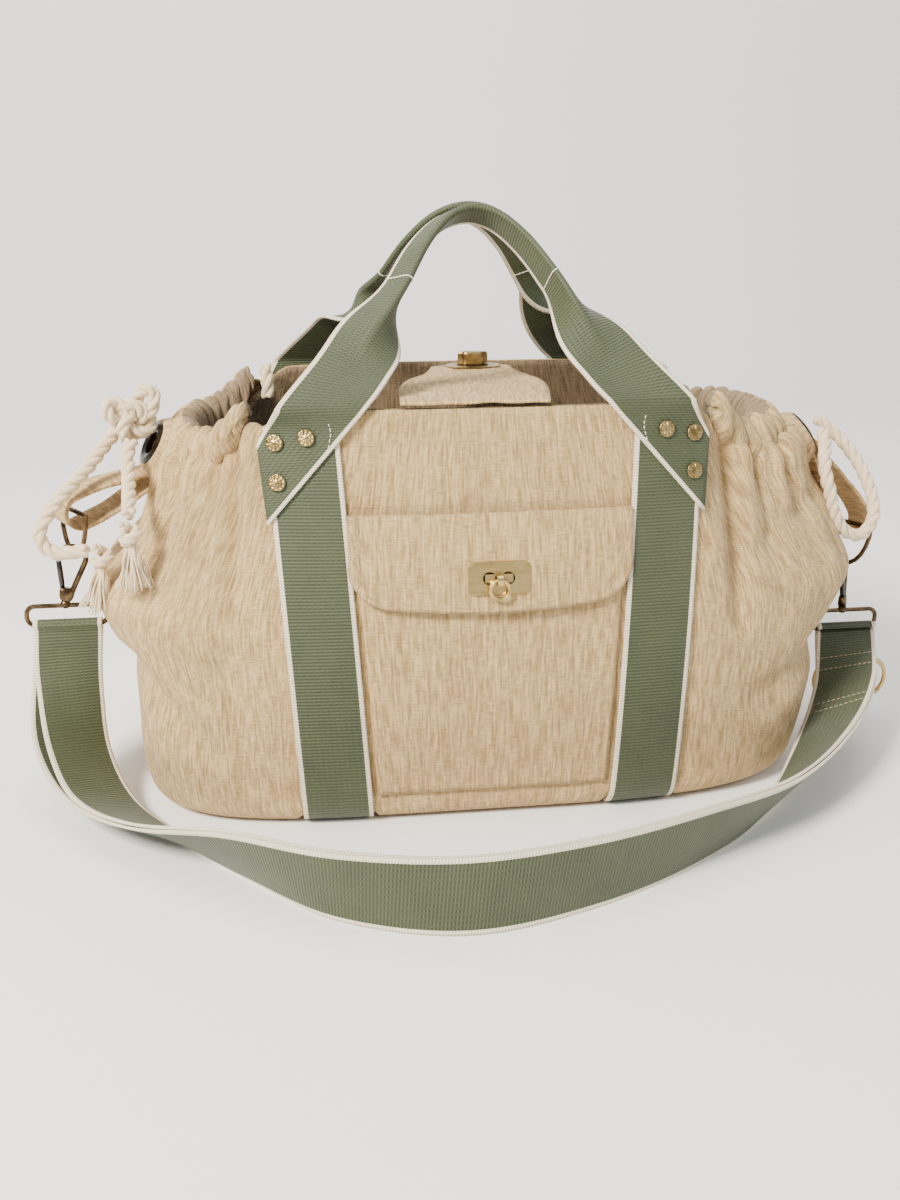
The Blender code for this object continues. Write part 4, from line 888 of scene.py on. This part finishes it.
# ---- metal fittings
def snap_hook(label, end):
    """Hook frame, tapered block and swivel ball, and the spring gate."""
    lean = Matrix.Rotation(math.radians(end["lean"]), 3, "Y")
    turned = lean @ Matrix.Rotation(math.radians(end["swivel"]), 3, "Z")
    foot = Vector(end["hook"])
    across, normal, up = [turned @ Vector(axis) for axis in ((1, 0, 0), (0, 1, 0), (0, 0, 1))]
    place = lambda u, w: foot + across * u + up * w
    work = bmesh.new()
    line = [place(0.002, 0.003), place(0.003, 0.007), place(0.0044, 0.013), place(0.0062, 0.02)]
    for k in range(25):
        turn = math.radians(90 - 7.5 * k)
        line.append(place(HOOK_HALF * math.sin(turn), HOOK_HIGH - 0.0075 + 0.0075 * math.cos(turn)))
    tube_into(work, line + [place(-0.0079, 0.0245)], lambda t: 0.0015 + 0.0002 * (1 - t), 12)
    rings = []
    for w, half_u, half_n in ((0.0, 0.0022, 0.0022), (0.0008, 0.0034, 0.0027), (0.003, 0.0042, 0.0027),
                              (0.0064, 0.0045, 0.0024), (0.0078, 0.004, 0.0019)):
        ring_here = []
        for k in range(16):
            u = signed_power(math.cos(TURN * k / 16), 0.45) * half_u
            n = signed_power(math.sin(TURN * k / 16), 0.45) * half_n
            ring_here.append(work.verts.new(place(u, w) + normal * n))
        rings.append(ring_here)
    loft(work, rings)
    ball = [place(0, -0.005 + 0.0062 * k / 10) for k in range(11)]
    swell = lambda t: math.sqrt(max(math.sin(math.pi * min(t * 1.1, 0.98)), 0))
    tube_into(work, ball, lambda t: 0.0006 + 0.0024 * swell(t), 14)
    link("hook_" + label, closed_mesh("hook_" + label, work), [BRONZE], "snap_hook_" + label,
         ["snap_hook_" + label])
    gate = bmesh.new()
    line = [place(-0.003, 0.0078).lerp(place(-0.0077, 0.0246), k / 6) for k in range(7)]
    tube_into(gate, line, lambda t: 0.0015 + 0.0002 * math.sin(math.pi * t), 12)
    link("gate_" + label, closed_mesh("gate_" + label, gate), [GUNMETAL], "hook_gate_" + label,
         ["hook_gate_" + label])


def side_tab(label, end):
    """Folded cloth tab that holds the D-ring, sewn into the end under the casing."""
    root, fold = Vector(end["tab"][0]), Vector(end["tab"][1])
    along = (fold - root).normalized()
    yaw = math.radians(end["yaw"])
    bar = Vector((math.sin(yaw), -math.cos(yaw), 0))
    bar = (bar - along * bar.dot(along)).normalized()
    over = along.cross(bar).normalized()
    length = (fold - root).length
    flat = length + 0.012
    outline = [(-0.012 + flat * k / 13, -0.002 - 0.007 * smoothstep(-2, 11, k)) for k in range(13)]
    for k in range(17):
        turn = math.radians(-90 + 180 * k / 16)
        outline.append((length + 0.009 * math.cos(turn), 0.009 * math.sin(turn)))
    outline += [(length - flat * (k + 1) / 13, 0.002 + 0.007 * smoothstep(-2, 11, 12 - k))
                for k in range(13)]
    rows = []
    for a, o in outline:
        crown = 0.0014 * (1 if o > 0 else -1) * smoothstep(0.0, 0.02, length + 0.009 - a)
        row = []
        for t in shares(15):
            off = crown * (1 - t * t) + 0.0007 * uneven(a * 90, t * 2, 3.0 + o * 40)
            row.append(root + along * a + over * (o + off) + bar * t * 0.0124)
        rows.append(row)
    mesh = grid_mesh("side_tab_" + label, rows, turned=True)
    made = link("side_tab_cloth_" + label, mesh, [LINEN], "bag", ["side_tab_" + label])
    lines = []
    for edge in ([row[1] for row in rows[8:36]], [row[-2] for row in rows[8:36]]):
        middle = centre_of(edge)
        lines.append([p + over * math.copysign(0.0012, (p - middle).dot(over)) for p in edge])
    top_stitches("side_tab_stitches_" + label, lines, "bag")
    return thicken(made, 0.0019, offset=0.0)


# ---- ropes, tassels, shoulder strap
def twisted_into(work, points, radius=0.004, pitch=0.024):
    """Three strands laid round each other along a route."""
    axes = axes_along(points, (points[1] - points[0]).normalized().orthogonal().normalized())
    run = running_length(points)
    for strand in range(3):
        line = [point + radius * 0.5 * around(side, other, TURN * (at / pitch + strand / 3))
                for point, (side, other), at in zip(points, axes, run)]
        tube_into(work, line, lambda t: radius * 0.545, 10)


def rope(name, route):
    points = smooth_route(route, 60)
    length = length_of(points)
    points = resample(points, max(int(length / 0.0013), 12))
    work = bmesh.new()
    twisted_into(work, points)
    return link("twisted_" + name, closed_mesh(name, work), [ROPE], "bag", [name]), points, length


def bow():
    """The knotted rope at the left eyelet: a tight knot with two standing ears."""
    work = bmesh.new()
    knot = []
    for k in range(141):
        t = TURN * k / 140
        reach = 0.0074 + 0.0032 * math.cos(3 * t)
        p = Vector((reach * math.cos(2 * t), 0.0034 * math.sin(3 * t), reach * math.sin(2 * t)))
        knot.append(BOW + Vector((-0.001, -0.001, -0.007)) + Matrix.Rotation(0.5, 3, "Z") @ p)
    twisted_into(work, knot, radius=0.0037)
    for start, high, lean, turn in (((0.004, 0.002, -0.004), 0.0076, 16, -0.3),
                                    ((-0.004, -0.002, -0.006), 0.0078, -52, 0.5)):
        ear = []
        for k in range(45):
            t = math.radians(-100 + 300 * k / 44)
            p = Vector((0.005 * math.cos(t), 0.0012 * math.sin(2 * t), high * (1 + math.sin(t))))
            ear.append(BOW + Vector(start) + Matrix.Rotation(turn, 3, "Z")
                       @ (Matrix.Rotation(math.radians(lean), 3, "Y") @ p))
        twisted_into(work, ear, radius=0.0037)
    return link("rope_bow", closed_mesh("rope_bow", work), [ROPE], "bag", ["rope_bow_left"])


def tassel(name, middle, direction):
    """Overhand knot with the rope's strands let out below it."""
    axis = Vector(direction).normalized()
    side = axis.orthogonal().normalized()
    other = axis.cross(side)
    middle = Vector(middle)
    work = bmesh.new()
    knot = [middle + around(side, other, TURN * 1.25 * k / 60) * 0.0034 + axis * (-0.005 + 0.01 * k / 60)
            for k in range(61)]
    twisted_into(work, knot, radius=0.0032, pitch=0.018)
    count = 54
    for k in range(count):
        outward = around(side, other, TURN * k * 0.381966)
        spread = math.sqrt((k + 0.5) / count)
        jitter = 0.0018 * uneven(k * 1.7, 0.3, 2.0)
        long = 0.027 + 0.0045 * uneven(k * 0.9, 5.0, 1.0)
        line = []
        for s in range(9):
            t = s / 8
            reach = (0.0022 + 0.0085 * t**1.3) * spread + jitter * t + 0.0007 * math.sin(9 * t + k)
            line.append(middle + axis * (0.004 + long * t) + outward * reach)
        tube_into(work, line, lambda t: 0.00075 * (1 - 0.45 * t), 5)
    return link("strands_" + name, closed_mesh(name, work), [ROPE], "bag", [name])


def strap_rows(upper, lower, shift):
    """Rows of one of the strap's two layers, a little off the middle between them."""
    last = len(upper) - 1
    rows = []
    for i in range(last + 1):
        before, after = max(i - 1, 0), min(i + 1, last)
        along = (upper[after] + lower[after] - upper[before] - lower[before]).normalized()
        away = along.cross((upper[i] - lower[i]).normalized()).normalized()
        splay = 0.0065 * math.sin(math.pi * smoothstep(0.0, 0.19, i / last)) if shift > 0 else 0.0
        off = away * shift + Vector((-splay, 0.35 * splay, 0))
        rows.append([lower[i].lerp(upper[i], (v + 1) / 2) + off for v in ACROSS])
    return rows


def over_bar(row, end, side):
    """Rows that carry a layer up over the loop's lower bar to the other layer."""
    bar_y, bar_z = end["hook"][1], end["hook"][2] - 0.003 - LOOP_DROP
    rows = []
    for k in range(9):
        turn = math.pi * k / 8
        y, z = bar_y - side * 0.0027 * math.cos(turn), bar_z + 0.0027 * math.sin(turn)
        rows.append([Vector((p.x, y, z)) for p in row])
    return rows


def shoulder_strap():
    """Doubled webbing from loop to loop, folded over each loop's lower bar."""
    upper, lower = [smooth_route(edge, 260) for edge in (STRAP_UPPER, STRAP_LOWER)]
    first, second = [strap_rows(upper, lower, shift) for shift in (-0.00115, 0.00115)]
    left, right = [1 if first[i][0].y < second[i][0].y else -1 for i in (0, -1)]
    rows = first[::-1] + over_bar(first[0], ENDS["left"], left)
    rows += second + over_bar(first[-1], ENDS["right"], right)[::-1]
    mesh = grid_mesh("strap", rows, edge_columns)
    made = link("strap", mesh, [GREEN, CREAM], "bag", ["shoulder_strap"])
    thicken(made, WEB_THICK, offset=0.0)
    near, far = (first, second) if right > 0 else (second, first)
    lines = []
    for back in (8, 11, 22, 25):
        toward = (near[-back][8] - far[-back][8]).normalized() * 0.0011
        lines.append([near[-back][k] + toward for k in range(2, len(ACROSS) - 2)])
    stitches("strap_stitches", lines, TAN_THREAD, "bag", pitch=0.003, length=0.0023,
             radius=0.0003)
    return made, [(a + b) / 2 for a, b in zip(upper, lower)]


# ---- the scene
def paint(names, material):
    """CAD nodes that are seen with their own mesh take a procedural material."""
    for name in names:
        node = NODES[name]
        node.data.materials.clear()
        node.data.materials.append(material)


def studio():
    camera = new_object("camera", bpy.data.cameras.new("camera"))
    camera.data.lens = 39
    camera.data.sensor_width = 36
    camera.location = (-0.1132, -0.7831, 0.368)
    camera.rotation_euler = (math.radians(71), 0, math.radians(-7.5))
    bpy.context.scene.camera = camera
    profile = [(-3.0, 0), (1.1, 0)]
    for k in range(1, 13):
        turn = math.pi / 2 * k / 12
        profile.append((1.1 + 0.5 * math.sin(turn), 0.5 - 0.5 * math.cos(turn)))
    profile.append((1.6, 3.2))
    mesh = grid_mesh("floor", [[Vector((x, y, z - 0.0002)) for x in (-4, 4)] for y, z in profile])
    mesh.shade_smooth()
    floor = new_object("floor", mesh)
    paper = Shader("floor_paper", 0.9, use_uv=False)
    paper.color((0.86, 0.855, 0.84, 1))
    mesh.materials.append(paper.material)
    for name, place, size, power, tint in (("key", (-1.3, -1.2, 1.6), 0.6, 128, (1.0, 0.93, 0.82)),
                                           ("fill", (1.5, -1.2, 1.0), 1.8, 12, (0.92, 0.96, 1.0)),
                                           ("top", (0.1, 0.4, 1.9), 1.6, 26, (1.0, 0.98, 0.95))):
        light = new_object(name, bpy.data.lights.new(name, "AREA"))
        light.data.size = size
        light.data.energy = power
        light.data.color = tint
        light.location = place
        light.rotation_mode = "QUATERNION"
        light.rotation_quaternion = (Vector((0, 0, 0.1)) - Vector(place)).to_track_quat("-Z", "Y")
    world = bpy.data.worlds.new("world")
    world.use_nodes = True
    background = world.node_tree.nodes["Background"]
    background.inputs["Color"].default_value = (0.95, 0.97, 1.0, 1)
    background.inputs["Strength"].default_value = 0.58
    bpy.context.scene.world = world


def cords():
    strap, middle = shoulder_strap()
    for label, far_end in (("left_front", "knot"), ("left_back", "knot"), ("right", "object")):
        made, points, length = rope("rope_" + label, ROPES["rope_" + label])
        pieces = [tassel("tassel_" + label, *TASSELS["tassel_" + label])] if far_end == "knot" else []
        if label == "left_front":
            pieces.append(bow())
    for name, route in ROPE_TAILS.items():
        rope(name, route)


studio()
cords()
bag_body()
for label, end in ENDS.items():
    casing("casing_" + label, end["sign"])
    band(label, end["sign"])
    eyelet_collar(label, end)
    snap_hook(label, end)
    side_tab(label, end)
handle("handle_front", -1)
handle("handle_back", 1)
pocket()
flap()
top_tab()
paint(["clasp_plate", "clasp_post", "clasp_ring", "strap_slider"], BRUSHED)
paint(["turnlock_plate", "turnlock_base", "turn_knob"], ANTIQUE)
paint(["eyelet_left", "eyelet_right"], GUNMETAL)
paint([f"{part}_{end}" for part in ("d_ring", "swivel_loop") for end in ENDS], BRONZE)
paint(["lock_anchor"], linen("linen_plain", *CLOTH, use_uv=False))
